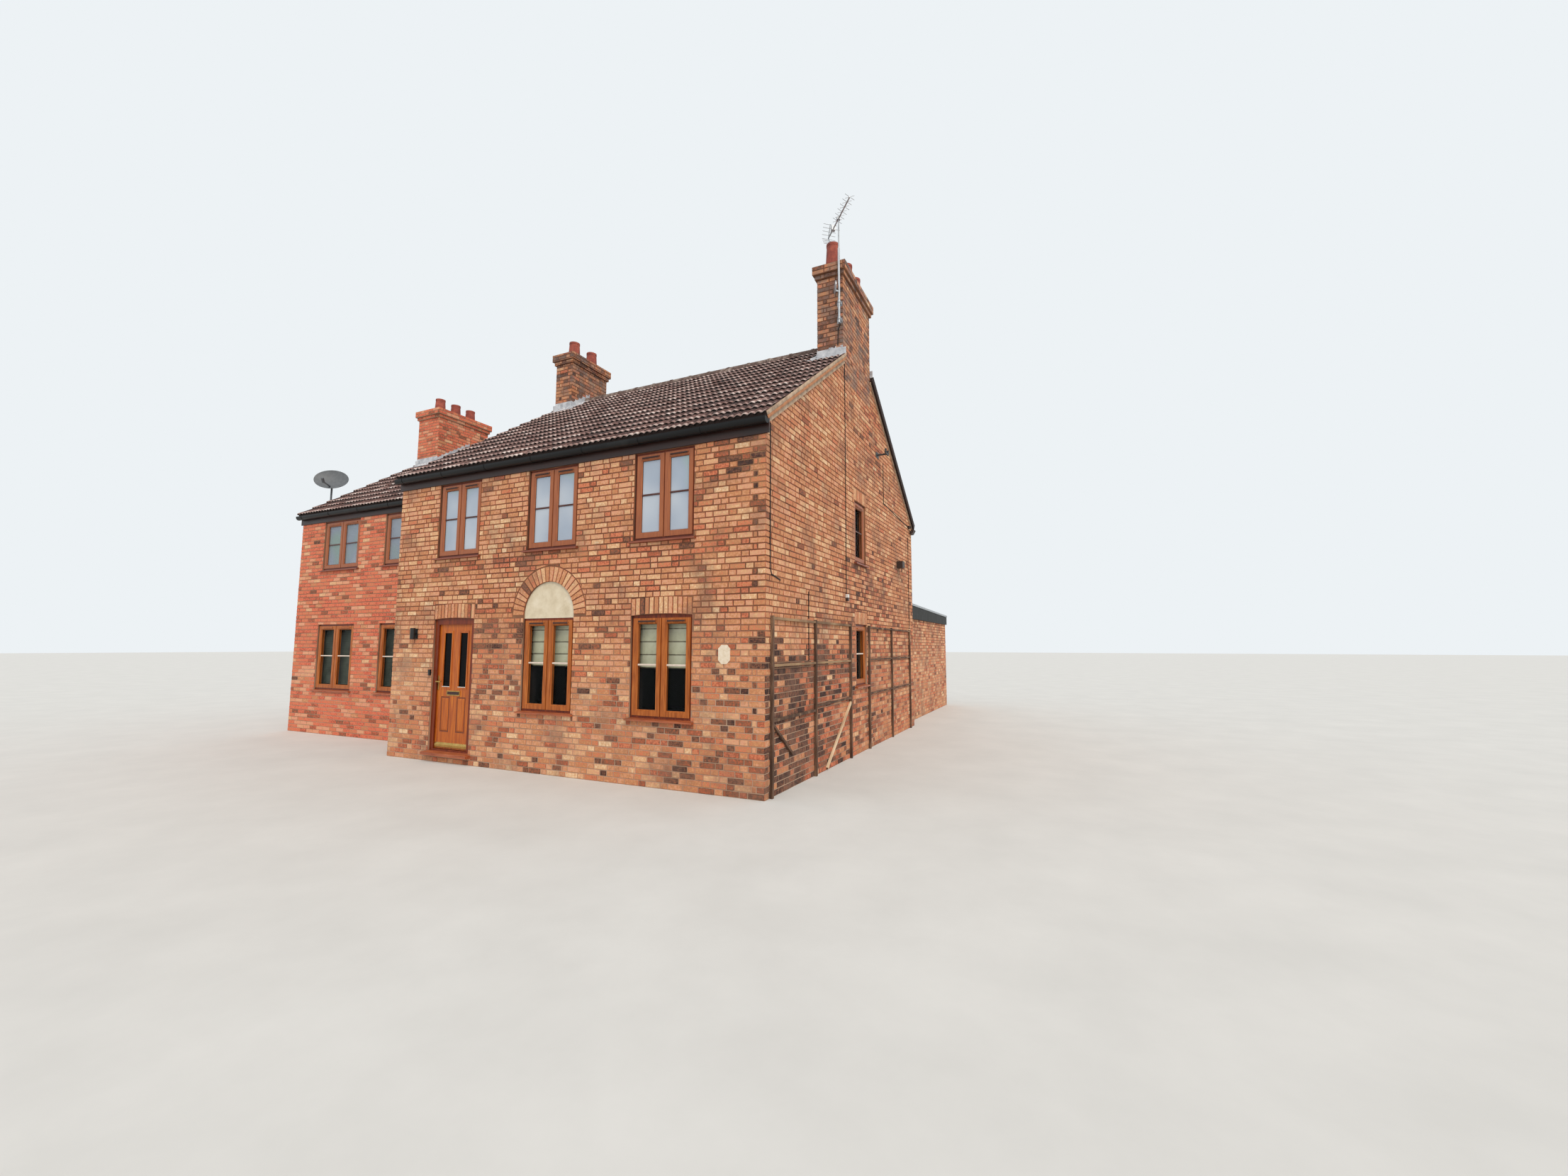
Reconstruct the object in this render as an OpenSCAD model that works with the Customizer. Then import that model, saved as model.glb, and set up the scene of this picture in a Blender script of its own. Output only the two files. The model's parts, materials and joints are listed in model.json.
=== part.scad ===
// Detached brick house: a two-storey main block with a gabled roof, a lower two-storey wing set
// back on its left and a flat-roofed extension behind. Lengths are millimetres.
// The modules measure x along the front from the main block's left corner, y back from the front
// wall and z up from the ground. placed() then moves each piece so that the origin lies at the
// bottom centre of the whole house.

/* [Main block] */
// Length of the front wall
main_len = 6900; // [6800:50:7600]
// Depth from the front wall to the back wall
main_depth = 7600; // [7200:50:8400]
// Thickness of the outer walls
wall = 275; // [230:5:330]
// Height of the lower edge of the fascia boards
eaves_h = 4400; // [4390:5:4700]
// Height of the ground floor above the ground
floor_h = 150; // [120:5:158]
// Height of the upper floor above the ground
upper_floor_h = 2650; // [2600:10:2720]
// Thickness of the upper floor
upper_floor_t = 220; // [150:10:260]

/* [Wing] */
// Length of the wing
wing_len = 4900; // [4600:50:5600]
// How far the wing's front stands behind the main front
wing_set_back = 1000; // [700:50:1200]

/* [Extension] */
// Length of the extension behind the house
ext_len = 5500; // [4500:100:6500]
// How far each side of the extension stands in from the ends of the main block
ext_inset = 250; // [150:10:500]
// Height of the lower edge of the extension's fascia
ext_fascia_z = 2480; // [2400:10:2560]
// Height of the top of the flat roof against the house
ext_h = 2875; // [2800:5:2950]
// Fall of the flat roof towards its far end
ext_fall = 110; // [60:5:150]
// Height of the roof deck's underside
ext_deck_z = 2610; // [2600:5:2640]
// Thickness of the extension's fascia
ext_fascia_t = 45; // [30:5:60]
// Height of the edge trim
ext_trim_h = 50; // [30:5:70]
// How far the edge trim stands out past the fascia
ext_trim_lip = 15; // [5:1:30]

/* [Roof] */
// Slope of the roofs in degrees
roof_pitch = 35; // [32:0.5:38]
// Upright thickness of the roof
roof_t = 70; // [55:5:90]
// Thickness of the tiles where they stand out over the gutter
tile_t = 26; // [18:1:32]
// How far the tiles stand out past the front and back walls
eaves_over = 80; // [65:1:95]
// How far the roof stands out past the gable walls
verge_over = 50; // [40:1:80]
// Height of the tiles' lower edge above the fascia's lower edge
edge_rise = 210; // [205:1:230]
// Depth of the bargeboards and the mortar bands along the verges
verge_h = 70; // [50:5:110]
// Distance between the courses of tiles, measured along the slope
tile_gauge = 338; // [300:1:360]
// How far each course of tiles stands out of the roof at its foot
tile_foot = 34; // [24:1:40]
// Outer radius of the ridge tiles
ridge_r = 125; // [100:5:150]
// Thickness of the ridge tiles
ridge_t = 18; // [12:1:24]
// How far the mortar lifts the ridge tiles above the roof
ridge_lift = 24; // [0:1:30]

/* [Eaves] */
// Thickness of the fascia boards
fascia_t = 20; // [16:1:24]
// Width of the gutters
gutter_w = 115; // [100:1:125]
// Depth of the gutters
gutter_d = 76; // [60:1:90]
// Thickness of the gutter wall
gutter_t = 4; // [3:0.5:6]
// Distance between gutter brackets
gutter_pitch = 980; // [700:20:1200]

/* [Windows] */
// Middle of the door and of the window over it, from the left corner
bay_left = 1440; // [1400:5:1500]
// Middle of the middle windows, from the left corner
bay_middle = 3415; // [3350:5:3480]
// Middle of the right windows, from the left corner
bay_right = 5385; // [5330:5:5450]
// Width of the front and back windows
window_w = 965; // [900:5:990]
// Height of the lower windows' sill
sill_h = 860; // [800:5:950]
// Height of the lower windows' head
head_h = 2190; // [2150:5:2200]
// Height of the upper windows' sill
upper_sill_h = 3200; // [3180:5:3300]
// Width of the wing's windows
wing_window_w = 1220; // [1100:10:1300]
// Height of the wing's lower sills
wing_sill_h = 895; // [850:5:950]
// Height of the wing's upper sills
wing_upper_sill_h = 3370; // [3300:5:3450]
// Distance from the wing's corners to the middles of its windows
wing_bay = 1430; // [1350:5:1500]
// Width of the right gable's windows
gable_window_w = 620; // [560:5:680]
// Distance from the front to the middle of the right gable's windows
gable_window_y = 3715; // [3680:5:3750]
// Height of the right gable's lower sill
gable_sill_h = 1130; // [1080:5:1200]
// Height of the right gable's upper sill
gable_upper_sill_h = 3240; // [3200:5:3300]
// Height of the right gable's upper window head
gable_upper_head_h = 4320; // [4250:5:4380]
// How far the window frames stand behind the wall face
reveal = 28; // [15:1:60]
// Depth of the window frames
frame_d = 68; // [60:1:80]
// Width of the fixed frame's members
frame_face = 46; // [38:1:60]
// Width of the sash members
sash_face = 62; // [50:1:70]
// How far a sash stands out in front of its frame
sash_proud = 14; // [8:1:18]
// Thickness of a sealed glass unit
glass_t = 24; // [20:1:28]
// Thickness of the sills at the nose
sill_t = 34; // [26:1:44]
// How far the sills stand out past the wall face
sill_nose = 52; // [35:1:70]
// How far the sills run past each side of a window
sill_horn = 42; // [20:1:60]

/* [Door] */
// Width of the door frame
door_w = 915; // [890:5:950]
// Height of the doorway's foot above the ground
door_foot = 165; // [160:1:175]
// Height of the door frame's head
door_head = 2205; // [2200:5:2220]
// Width of the door frame's members
door_face = 62; // [55:1:70]
// Thickness of the door leaf
leaf_t = 44; // [40:1:48]
// Gap between the leaf and its frame at the sides and the head
leaf_gap = 8; // [7:0.5:10]
// How far the frame's stop covers the leaf's edge
stop_lap = 18; // [12:1:22]
// Thickness of the frame's stop in front of the leaf
stop_t = 22; // [18:1:26]
// Thickness of the door sill
door_sill_t = 60; // [45:1:70]
// How far the door sill stands out past the wall face
door_sill_nose = 85; // [60:5:110]

/* [Arches] */
// Height of the soldier bricks over the door and the right window
soldier_h = 228; // [215:1:240]
// Rise of the flat arches
arch_rise = 20; // [10:1:30]
// Thickness of the brick ring over the middle window
ring_t = 215; // [200:1:225]
// Height of the ring's springing above the window head
arch_stilt = 45; // [30:1:70]
// How far the rendered panel stands behind the wall face
panel_back = 22; // [10:1:40]
// Thickness of the rendered panel
panel_t = 110; // [80:5:150]

/* [Chimneys] */
// Width of the right stack
right_stack_w = 460; // [420:5:520]
// Depth of the right stack from front to back
right_stack_d = 1525; // [1450:5:1600]
// Distance from the front to the middle of the right stack
right_stack_y = 3640; // [3600:5:3700]
// Height of the right stack
right_stack_h = 8360; // [8250:10:8500]
// Width of the left stack
left_stack_w = 460; // [420:5:520]
// Depth of the left stack from front to back
left_stack_d = 1090; // [1020:5:1160]
// Distance from the front to the middle of the left stack
left_stack_y = 3825; // [3780:5:3870]
// Height of the left stack
left_stack_h = 8260; // [8150:10:8400]
// Width of the wing's stack
wing_stack_w = 770; // [700:5:840]
// Depth of the wing's stack from front to back
wing_stack_d = 1430; // [1380:5:1500]
// Distance from the main front to the middle of the wing's stack
wing_stack_y = 4165; // [4120:5:4200]
// Height of the wing's stack
wing_stack_h = 7820; // [7700:10:7950]
// Height of one brick course with its joint
course = 76; // [72:0.5:78]
// How far each oversailing course stands out
oversail = 34; // [25:1:45]
// Height of the sloped mortar on the stacks
flaunch_h = 60; // [40:5:90]
// Outer diameter of the chimney pots at the top
pot_d = 230; // [200:5:250]
// Height of the ordinary pots
pot_h = 380; // [300:10:450]
// Height of the tall front pot on the right stack
tall_pot_h = 470; // [420:10:560]
// Bore of the pots
pot_bore = 160; // [140:5:170]
// Thickness of the lead flashings
lead_t = 6; // [4:1:10]
// How far the flashings stand up the stacks
lead_up = 150; // [120:5:180]

/* [Fittings] */
// Side of the trellis posts
post = 42; // [35:1:50]
// Side of the trellis rails
rail = 30; // [22:1:34]
// Height of the trellis
trellis_h = 2165; // [2000:5:2250]
// Height of the aerial's boom above the right stack's brickwork
aerial_rise = 740; // [600:10:880]
// Length of the aerial's boom
boom_len = 1060; // [900:10:1200]
// Direction of the boom, turned from the front towards the right, in degrees
boom_turn = 40; // [30:1:50]
// Diameter of the aerial's mast
mast_d = 40; // [32:1:50]
// Width of the satellite dish
dish_w = 680; // [600:10:760]
// Height of the satellite dish as a share of its width
dish_share = 0.76; // [0.65:0.01:0.9]
// Direction of the satellite dish, turned from the front towards the right, in degrees
dish_turn = 42; // [30:1:55]
// Diameter of the cables that are clipped to the walls
cable_d = 12; // [8:1:16]

/* [Hidden] */
$fn = 48;

// Clearance that a cutting shape runs past the faces it cuts
past = 1;
// Gap between pieces that meet on a slope
seat = 0.3;
// A height above everything on the house
sky = 12000;

slope = tan(roof_pitch);
edge_h = eaves_h + edge_rise;
arch_r = window_w / 2;
spring_h = head_h + arch_stilt;
split_h = door_head + soldier_h;
fascia_top = edge_h + (eaves_over - fascia_t) * slope - roof_t;
gutter_top = edge_h - tile_t - 8;

// How far a course of tiles stands out of the roof at its head, and the upright thickness of all
// courses over the roof
tile_head = 6;
cover_t = tile_foot / cos(roof_pitch);
// Raised rim of a ridge tile, and the half width that the courses leave free for it
ridge_rim = 8;
ridge_free = ridge_r + ridge_rim + past;
// How far the middle of a ridge tile's round lies below the roof's peak
ridge_drop = ridge_r * 0.62 - ridge_lift;

// Both roofs share the back wall; each has its own front
main_mid = main_depth / 2;
wing_mid = (wing_set_back + main_depth) / 2;
ext_x0 = ext_inset;
ext_x1 = main_len - ext_inset;
ext_y1 = main_depth + ext_len;

// Openings between the rooms
inner_door_w = 900;
inner_door_h = 2000;
inner_door_y = 5600;
garden_door_w = 1800;

// Extension windows, as wide as the wing's
ext_bay = 1750;

// The door leaf
door_x0 = bay_left - door_w / 2;
door_x1 = bay_left + door_w / 2;
leaf_w = door_w - 2 * door_face - 2 * leaf_gap;
leaf_x0 = door_x0 + door_face + leaf_gap;
leaf_y0 = reveal + stop_t + 6;
leaf_foot = door_foot + 34;
leaf_head = door_head - door_face - leaf_gap;
leaf_h = leaf_head - leaf_foot;
leaf_glass_w = 172;
leaf_glass_h = 850;
leaf_column = 180;
leaf_glass_z = leaf_h - 138 - leaf_glass_h;
leaf_panel_z = 255;
leaf_panel_h = 545;
leaf_panel_w = 200;
leaf_glass_t = 20;
bead = 26;
weather_bar_end = stop_lap + 6;
door_frame_d = leaf_y0 + leaf_t - reveal;
// The hinge pins stand behind the leaf's back face, over the gap beside the leaf
hinge_r = 8;
hinge_pin_r = 4;
hinge_h = 45;
hinge_leaf_t = 3;
hinge_fit = 0.3;
pin_x = door_x1 - door_face - leaf_gap / 2;
pin_y = leaf_y0 + leaf_t + hinge_r + 1.5;
hinge_z = [leaf_foot + 190, leaf_foot + leaf_h / 2, leaf_head - 190];
letter_z = leaf_h - 1117;
handle_z = leaf_h - 905;

// Chimney pots: x and y of each, the height of its stack and its own height
pot_margin = 168;
pot_aside = 110;
short_pot_h = pot_h + 120;
wing_pot_pitch = wing_stack_d / 2 - 275;
pots = [
    [main_len - right_stack_w / 2, right_stack_y - right_stack_d / 2 + pot_margin, right_stack_h, tall_pot_h],
    [main_len - right_stack_w / 2, right_stack_y + pot_aside, right_stack_h, short_pot_h],
    [main_len - right_stack_w / 2, right_stack_y + right_stack_d / 2 - pot_margin, right_stack_h, short_pot_h],
    [left_stack_w / 2, left_stack_y - left_stack_d / 4, left_stack_h, pot_h],
    [left_stack_w / 2, left_stack_y + left_stack_d / 4, left_stack_h, pot_h],
    [wing_stack_w / 2 - wing_len, wing_stack_y - wing_pot_pitch, wing_stack_h, pot_h],
    [wing_stack_w / 2 - wing_len, wing_stack_y, wing_stack_h, pot_h],
    [wing_stack_w / 2 - wing_len, wing_stack_y + wing_pot_pitch, wing_stack_h, pot_h]
];
pot_foot_d = pot_d + 50;
pot_seat = 20;

// The aerial stands at the front right corner of the right stack, clear of its oversailing courses
right_stack_front = right_stack_y - right_stack_d / 2;
mast_x = main_len - 30;
mast_y = right_stack_front - 2 * oversail - mast_d / 2 - 4;
mast_foot = right_stack_h - 1130;
mast_bracket_z = [mast_foot + 80, mast_foot + 375];
mast_plate_h = 90;
mast_step_z = right_stack_h + 200;
aerial_h = right_stack_h + aerial_rise;
boom_ahead = 0.5;
boom_side = 18;
director_len = 180;
director_lean = 26;
rod_d = 8;
reflector_len = 250;
reflector_arm = 225;
reflector_lean = 60;
small_dish_d = 220;
small_dish_z = right_stack_h - 530;

// Heights of the trellis's middle and lower rails
trellis_mid_z = 1560;
trellis_low_z = 960;

// The satellite dish stands on a pole beside the wing's end wall
dish_pole_x = -wing_len - 130;
dish_pole_y = 1570;
dish_pole_d = 38;
dish_pole_top = 5480;
dish_pole_foot = 4560;
dish_tilt = 24;
dish_ahead = 115;
dish_lift = 120;
dish_deep = 62;
dish_t = 8;

// Outer reach of the whole house, which sets the origin
reach_left = dish_pole_x + (dish_ahead * cos(dish_tilt) - dish_lift * sin(dish_tilt)) * sin(dish_turn)
    - dish_w / 2 * sqrt(pow(cos(dish_turn), 2) + pow(dish_share * sin(dish_tilt) * sin(dish_turn), 2));
director_side = cos(boom_turn) * cos(director_lean);
reach_right = mast_x + (boom_ahead * boom_len - rod_d / 2) * sin(boom_turn) + director_len / 2 * director_side
    + rod_d / 2 * sqrt(1 - director_side * director_side);
reach_front = -fascia_t - gutter_w - gutter_t;
reach_back = ext_y1 + ext_fascia_t + ext_trim_lip;
centre_x = (reach_left + reach_right) / 2;
centre_y = (reach_front + reach_back) / 2;

// Moves a piece from the house's own measurements to the part's origin
module placed() {
    translate([-centre_x, -centre_y, 0]) children();
}

// A box between two corners
module block(x0, x1, y0, y1, z0, z1) {
    translate([x0, y0, z0]) cube([x1 - x0, y1 - y0, z1 - z0]);
}

// A flat shape in y and z, drawn out along x
module drawn_along_x(x0, x1) {
    translate([x0, 0, 0]) rotate([90, 0, 90]) linear_extrude(x1 - x0) children();
}

// An outline in y and z, drawn out along x
module along_x(x0, x1, outline) {
    drawn_along_x(x0, x1) polygon(outline);
}

// A flat shape in x and z, drawn out along y
module along_y(y0, y1) {
    translate([0, y1, 0]) rotate([90, 0, 0]) linear_extrude(y1 - y0) children();
}

// Height of a roof's upper face over y, between its front and its back wall
function roof_z(y, front) = edge_h + (min(y - front, main_depth - y) + eaves_over) * slope;

// Everything over the underside of a roof, to trim the walls to it
module over_roof(x0, x1, front) {
    middle = (front + main_depth) / 2;
    low = roof_z(front - 500, front) - roof_t - seat;
    along_x(x0 - past, x1 + past, [
        [front - 500, low], [middle, roof_z(middle, front) - roof_t - seat], [main_depth + 500, low],
        [main_depth + 500, sky], [front - 500, sky]
    ]);
}

// Outline of a flat arch: its soffit rises to the middle, and so does its top
function arc_points(w, rise, z) = let (r = (w * w / 4 + rise * rise) / (2 * rise), half = asin(w / 2 / r), steps = 12)
    [for (i = [0 : steps]) let (a = -half + 2 * half * i / steps) [r * sin(a), z + rise - r + r * cos(a)]];
function reversed(points) = [for (i = [len(points) - 1 : -1 : 0]) points[i]];

module flat_arch(x, w, z) {
    translate([x, 0])
        polygon(concat(arc_points(w, arch_rise, z), reversed(arc_points(w, arch_rise, z + soldier_h))));
}

// The opening under a flat arch, from its sill up
module arched_hole(x, w, z0, z1) {
    translate([x, 0]) polygon(concat([[w / 2, z0], [-w / 2, z0]], arc_points(w, arch_rise, z1)));
}

module rect(x, w, z0, z1) {
    translate([x - w / 2, z0]) square([w, z1 - z0]);
}

// The tall half-round opening over the middle window, grown by a margin
module round_head(margin) {
    translate([bay_middle, spring_h]) intersection() {
        circle(arch_r + margin, $fn = 96);
        translate([-arch_r - margin, 0]) square([2 * (arch_r + margin), arch_r + margin]);
    }
    rect(bay_middle, 2 * (arch_r + margin), head_h, spring_h + past);
}

// Front and back walls, as flat shapes in x and z
module lower_front_shape() {
    difference() {
        translate([door_x1, 0]) square([main_len - door_x1, split_h]);
        rect(bay_middle, window_w, sill_h - sill_t, head_h + past);
        round_head(0);
        intersection() {
            round_head(ring_t);
            translate([0, spring_h]) square([main_len, sky]);
        }
        arched_hole(bay_right, window_w, sill_h - sill_t, head_h);
        flat_arch(bay_right, window_w, head_h);
    }
}

module upper_front_shape() {
    difference() {
        translate([0, split_h]) square([main_len, eaves_h + 700 - split_h]);
        intersection() {
            round_head(ring_t);
            translate([0, spring_h]) square([main_len, sky]);
        }
        flat_arch(bay_right, window_w, head_h);
        flat_arch(bay_left, door_w, door_head);
        for (x = [bay_left, bay_middle, bay_right]) rect(x, window_w, upper_sill_h - sill_t, eaves_h);
    }
}

module front_wall_left() {
    color("#b9835c") placed() difference() {
        union() {
            block(0, door_x0, 0, wall, 0, split_h);
            block(door_x0 - past, door_x1, 0, wall, 0, door_foot - door_sill_t);
        }
        along_y(-past, wall + past) flat_arch(bay_left, door_w, door_head);
    }
}

module front_wall_right() {
    color("#b9835c") placed() difference() {
        along_y(0, wall) lower_front_shape();
        along_y(-past, wall + past) flat_arch(bay_left, door_w, door_head);
    }
}

module front_wall_upper() {
    color("#b9835c") placed() difference() {
        along_y(0, wall) upper_front_shape();
        over_roof(0, main_len, 0);
    }
}

// Pockets in which a chimney stands on a gable wall
stack_sink = 300;
right_foot = roof_z(right_stack_y - right_stack_d / 2, 0) - roof_t - stack_sink;
left_foot = roof_z(left_stack_y - left_stack_d / 2, 0) - roof_t - stack_sink;
wing_foot = roof_z(wing_stack_y - wing_stack_d / 2, wing_set_back) - roof_t - stack_sink;

module right_stack_space() {
    block(main_len - right_stack_w, main_len + verge_over + past, right_stack_y - right_stack_d / 2,
        right_stack_y + right_stack_d / 2, right_foot, sky);
}

module left_stack_space() {
    block(-verge_over - past, left_stack_w, left_stack_y - left_stack_d / 2,
        left_stack_y + left_stack_d / 2, left_foot, sky);
}

module wing_stack_space() {
    block(-wing_len - verge_over - past, wing_stack_w - wing_len, wing_stack_y - wing_stack_d / 2,
        wing_stack_y + wing_stack_d / 2, wing_foot, sky);
}

module right_gable_wall() {
    color("#b5805a") placed() difference() {
        block(main_len - wall, main_len, wall, main_depth - wall, 0, sky);
        over_roof(0, main_len, 0);
        right_stack_space();
        for (z = [[gable_sill_h, head_h - 20], [gable_upper_sill_h, gable_upper_head_h]])
            block(main_len - wall - past, main_len + past, gable_window_y - gable_window_w / 2,
                gable_window_y + gable_window_w / 2, z[0] - sill_t, z[1]);
    }
}

module left_gable_wall() {
    color("#b5805a") placed() difference() {
        block(0, wall, wall, main_depth - wall, 0, sky);
        over_roof(0, main_len, 0);
        left_stack_space();
        for (z = [floor_h, upper_floor_h])
            block(-past, wall + past, inner_door_y - inner_door_w / 2, inner_door_y + inner_door_w / 2,
                z, z + inner_door_h);
    }
}

module back_wall() {
    color("#b5805a") placed() difference() {
        block(0, main_len, main_depth - wall, main_depth, 0, sky);
        over_roof(0, main_len, 0);
        along_y(main_depth - wall - past, main_depth + past) {
            for (x = [bay_left, bay_middle, bay_right])
                rect(x, window_w, upper_sill_h - sill_t, eaves_h);
            rect(main_len / 2, garden_door_w, floor_h, floor_h + inner_door_h);
        }
    }
}

// The wing's windows, the same at the front and the back
module wing_holes() {
    for (x = [wing_bay - wing_len, -wing_bay]) {
        rect(x, wing_window_w, wing_sill_h - sill_t, head_h + 35);
        rect(x, wing_window_w, wing_upper_sill_h - sill_t, eaves_h);
    }
}

module wing_long_wall(y0) {
    difference() {
        block(-wing_len, 0, y0, y0 + wall, 0, sky);
        over_roof(-wing_len, 0, wing_set_back);
        along_y(y0 - past, y0 + wall + past) wing_holes();
    }
}

module wing_front_wall() {
    color("#bd7355") placed() wing_long_wall(wing_set_back);
}

module wing_back_wall() {
    color("#bd7355") placed() wing_long_wall(main_depth - wall);
}

module wing_end_wall() {
    color("#bd7355") placed() difference() {
        block(-wing_len, wall - wing_len, wing_set_back + wall, main_depth - wall, 0, sky);
        over_roof(-wing_len, 0, wing_set_back);
        wing_stack_space();
    }
}

module extension_side_walls() {
    color("#c47a58") placed() for (x = [ext_x0, ext_x1 - wall])
        block(x, x + wall, main_depth, ext_y1 - wall, 0, ext_deck_z);
}

module extension_back_wall() {
    color("#c47a58") placed() difference() {
        block(ext_x0, ext_x1, ext_y1 - wall, ext_y1, 0, ext_deck_z);
        along_y(ext_y1 - wall - past, ext_y1 + past) for (x = [ext_x0 + ext_bay, ext_x1 - ext_bay])
            rect(x, wing_window_w, wing_sill_h - sill_t, head_h);
    }
}

module ground_floors() {
    color("#9b958c") placed() {
        block(wall, main_len - wall, wall, main_depth - wall, 0, floor_h);
        block(wall - wing_len, 0, wing_set_back + wall, main_depth - wall, 0, floor_h);
        block(ext_x0 + wall, ext_x1 - wall, main_depth, ext_y1 - wall, 0, floor_h);
    }
}

module upper_floors() {
    color("#8f7a5c") placed() {
        block(wall, main_len - wall, wall, main_depth - wall, upper_floor_h - upper_floor_t, upper_floor_h);
        block(wall - wing_len, 0, wing_set_back + wall, main_depth - wall,
            upper_floor_h - upper_floor_t, upper_floor_h);
    }
}

// One slope of a roof, seen from its own eaves: the tiles stand out thin over the gutter
function slope_outline(front) = let (middle = (front + main_depth) / 2, top = roof_z(middle, front)) [
    [front - eaves_over, edge_h], [middle, top], [middle, top - roof_t],
    [front - fascia_t, fascia_top], [front - fascia_t, roof_z(front - fascia_t, front) - tile_t],
    [front - eaves_over, edge_h - tile_t]
];
function mirrored(points, middle) = [for (p = points) [2 * middle - p[0], p[1]]];

// A place on a slope: s along it from the tiles' lower edge and h out of its upper face
function on_slope(front, s, h) = [
    front - eaves_over + s * cos(roof_pitch) - h * sin(roof_pitch),
    edge_h + s * sin(roof_pitch) + h * cos(roof_pitch)
];

// The courses of tiles, each lapped over the head of the one below
function course_outline(front) = let (
    run = ((main_depth - front) / 2 + eaves_over) / cos(roof_pitch), count = ceil(run / tile_gauge)
) concat(
    [for (i = [0 : count - 1]) for (h = [i == 0 ? 0 : tile_head, tile_foot]) on_slope(front, i * tile_gauge, h)],
    [for (h = [tile_head, -tile_t / 2]) on_slope(front, count * tile_gauge, h)], [on_slope(front, 0, -tile_t / 2)]
);

module slope_shape(front) {
    polygon(slope_outline(front));
    // the courses stop beside the ridge tiles
    intersection() {
        polygon(course_outline(front));
        translate([front - 2 * eaves_over, 0])
            square([(main_depth - front) / 2 - ridge_free + 2 * eaves_over, sky]);
    }
}

module facing(back, middle) {
    if (back) translate([2 * middle, 0]) mirror([1, 0]) children();
    else children();
}

module main_roof_slope(back) {
    difference() {
        drawn_along_x(-verge_over, main_len + verge_over) facing(back, main_mid) slope_shape(0);
        right_stack_space();
        left_stack_space();
    }
}

module wing_roof_slope(back) {
    difference() {
        drawn_along_x(-wing_len - verge_over, 0) facing(back, wing_mid) slope_shape(wing_set_back);
        wing_stack_space();
        // the main block's back slope runs on in the same plane
        block(-verge_over, past, main_mid, main_depth + eaves_over + tile_foot, 0, sky);
    }
}

module main_roof_front() {
    color("#5b474b") placed() main_roof_slope(false);
}

module main_roof_back() {
    color("#5b474b") placed() main_roof_slope(true);
}

module wing_roof_front() {
    color("#5b474b") placed() wing_roof_slope(false);
}

module wing_roof_back() {
    color("#5b474b") placed() wing_roof_slope(true);
}

// Half-round ridge tiles, each with a raised rim where it laps the next one
module ridge_row(x0, x1, y, z) {
    count = round((x1 - x0) / 450);
    pitch = (x1 - x0) / count;
    difference() {
        translate([x0, y, z - ridge_drop]) rotate([0, 90, 0]) union() {
            cylinder(r = ridge_r, h = x1 - x0);
            for (i = [0 : count - 1]) translate([0, 0, i * pitch]) cylinder(r = ridge_r + ridge_rim, h = 40);
        }
        translate([x0 - past, y, z - ridge_drop]) rotate([0, 90, 0])
            cylinder(r = ridge_r - ridge_t, h = x1 - x0 + 2 * past);
        for (side = [-1, 1]) along_x(x0 - past, x1 + past, [
            [y, z + seat], [y + side * 600, z + seat - 600 * slope], [y + side * 600, z - 1200], [y, z - 1200]
        ]);
    }
}

module ridge_tiles() {
    color("#66575a") placed() {
        ridge_row(left_stack_w, main_len - right_stack_w, main_mid, roof_z(main_mid, 0));
        ridge_row(wing_stack_w - wing_len, -verge_over, wing_mid, roof_z(wing_mid, wing_set_back));
    }
}

// A block whose four sides lean in, from w0 by d0 at its foot to w1 by d1 at height h
module frustum(w0, d0, w1, d1, h) {
    intersection() {
        along_x(-w0, w0, [[-d0 / 2, 0], [d0 / 2, 0], [d1 / 2, h], [-d1 / 2, h]]);
        along_y(-d0, d0) polygon([[-w0 / 2, 0], [w0 / 2, 0], [w1 / 2, h], [-w1 / 2, h]]);
    }
}

// A brick stack with one and then two oversailing courses, and sloped mortar round the pots
module stack(x0, w, y, d, foot, top) {
    difference() {
        union() {
            block(x0, x0 + w, y - d / 2, y + d / 2, foot, top);
            block(x0 - oversail, x0 + w + oversail, y - d / 2 - oversail, y + d / 2 + oversail,
                top - 3 * course, top - 2 * course);
            block(x0 - 2 * oversail, x0 + w + 2 * oversail, y - d / 2 - 2 * oversail,
                y + d / 2 + 2 * oversail, top - 2 * course, top);
            translate([x0 + w / 2, y, top])
                frustum(w + 3 * oversail, d + 3 * oversail, w * 0.66, d * 0.88, flaunch_h);
        }
        for (p = pots) if (p[2] == top && p[0] > x0 && p[0] < x0 + w)
            translate([p[0], p[1], top - pot_seat]) cylinder(d = pot_foot_d, h = sky);
    }
}

module right_chimney() {
    color("#a87350") placed()
        stack(main_len - right_stack_w, right_stack_w, right_stack_y, right_stack_d, right_foot, right_stack_h);
}

module left_chimney() {
    color("#8f6b4f") placed() stack(0, left_stack_w, left_stack_y, left_stack_d, left_foot, left_stack_h);
}

module wing_chimney() {
    color("#c06a4c") placed()
        stack(-wing_len, wing_stack_w, wing_stack_y, wing_stack_d, wing_foot, wing_stack_h);
}

// A tapered clay pot with a foot band and a rolled rim, open from end to end
module pot(h) {
    difference() {
        union() {
            cylinder(d1 = pot_foot_d - 12, d2 = pot_d - 16, h = h);
            cylinder(d = pot_foot_d, h = pot_seat + 40);
            translate([0, 0, h - 42]) cylinder(d = pot_d, h = 42);
        }
        translate([0, 0, -past]) cylinder(d = pot_bore, h = h + 2 * past);
    }
}

module chimney_pots() {
    color("#b9553f") placed() for (p = pots) translate([p[0], p[1], p[2] - pot_seat]) pot(p[3] + pot_seat);
}

// Height of the lead over y, where it lies on the feet of the tile courses
function lead_z(y, front) = roof_z(y, front) + cover_t + seat;

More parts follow.
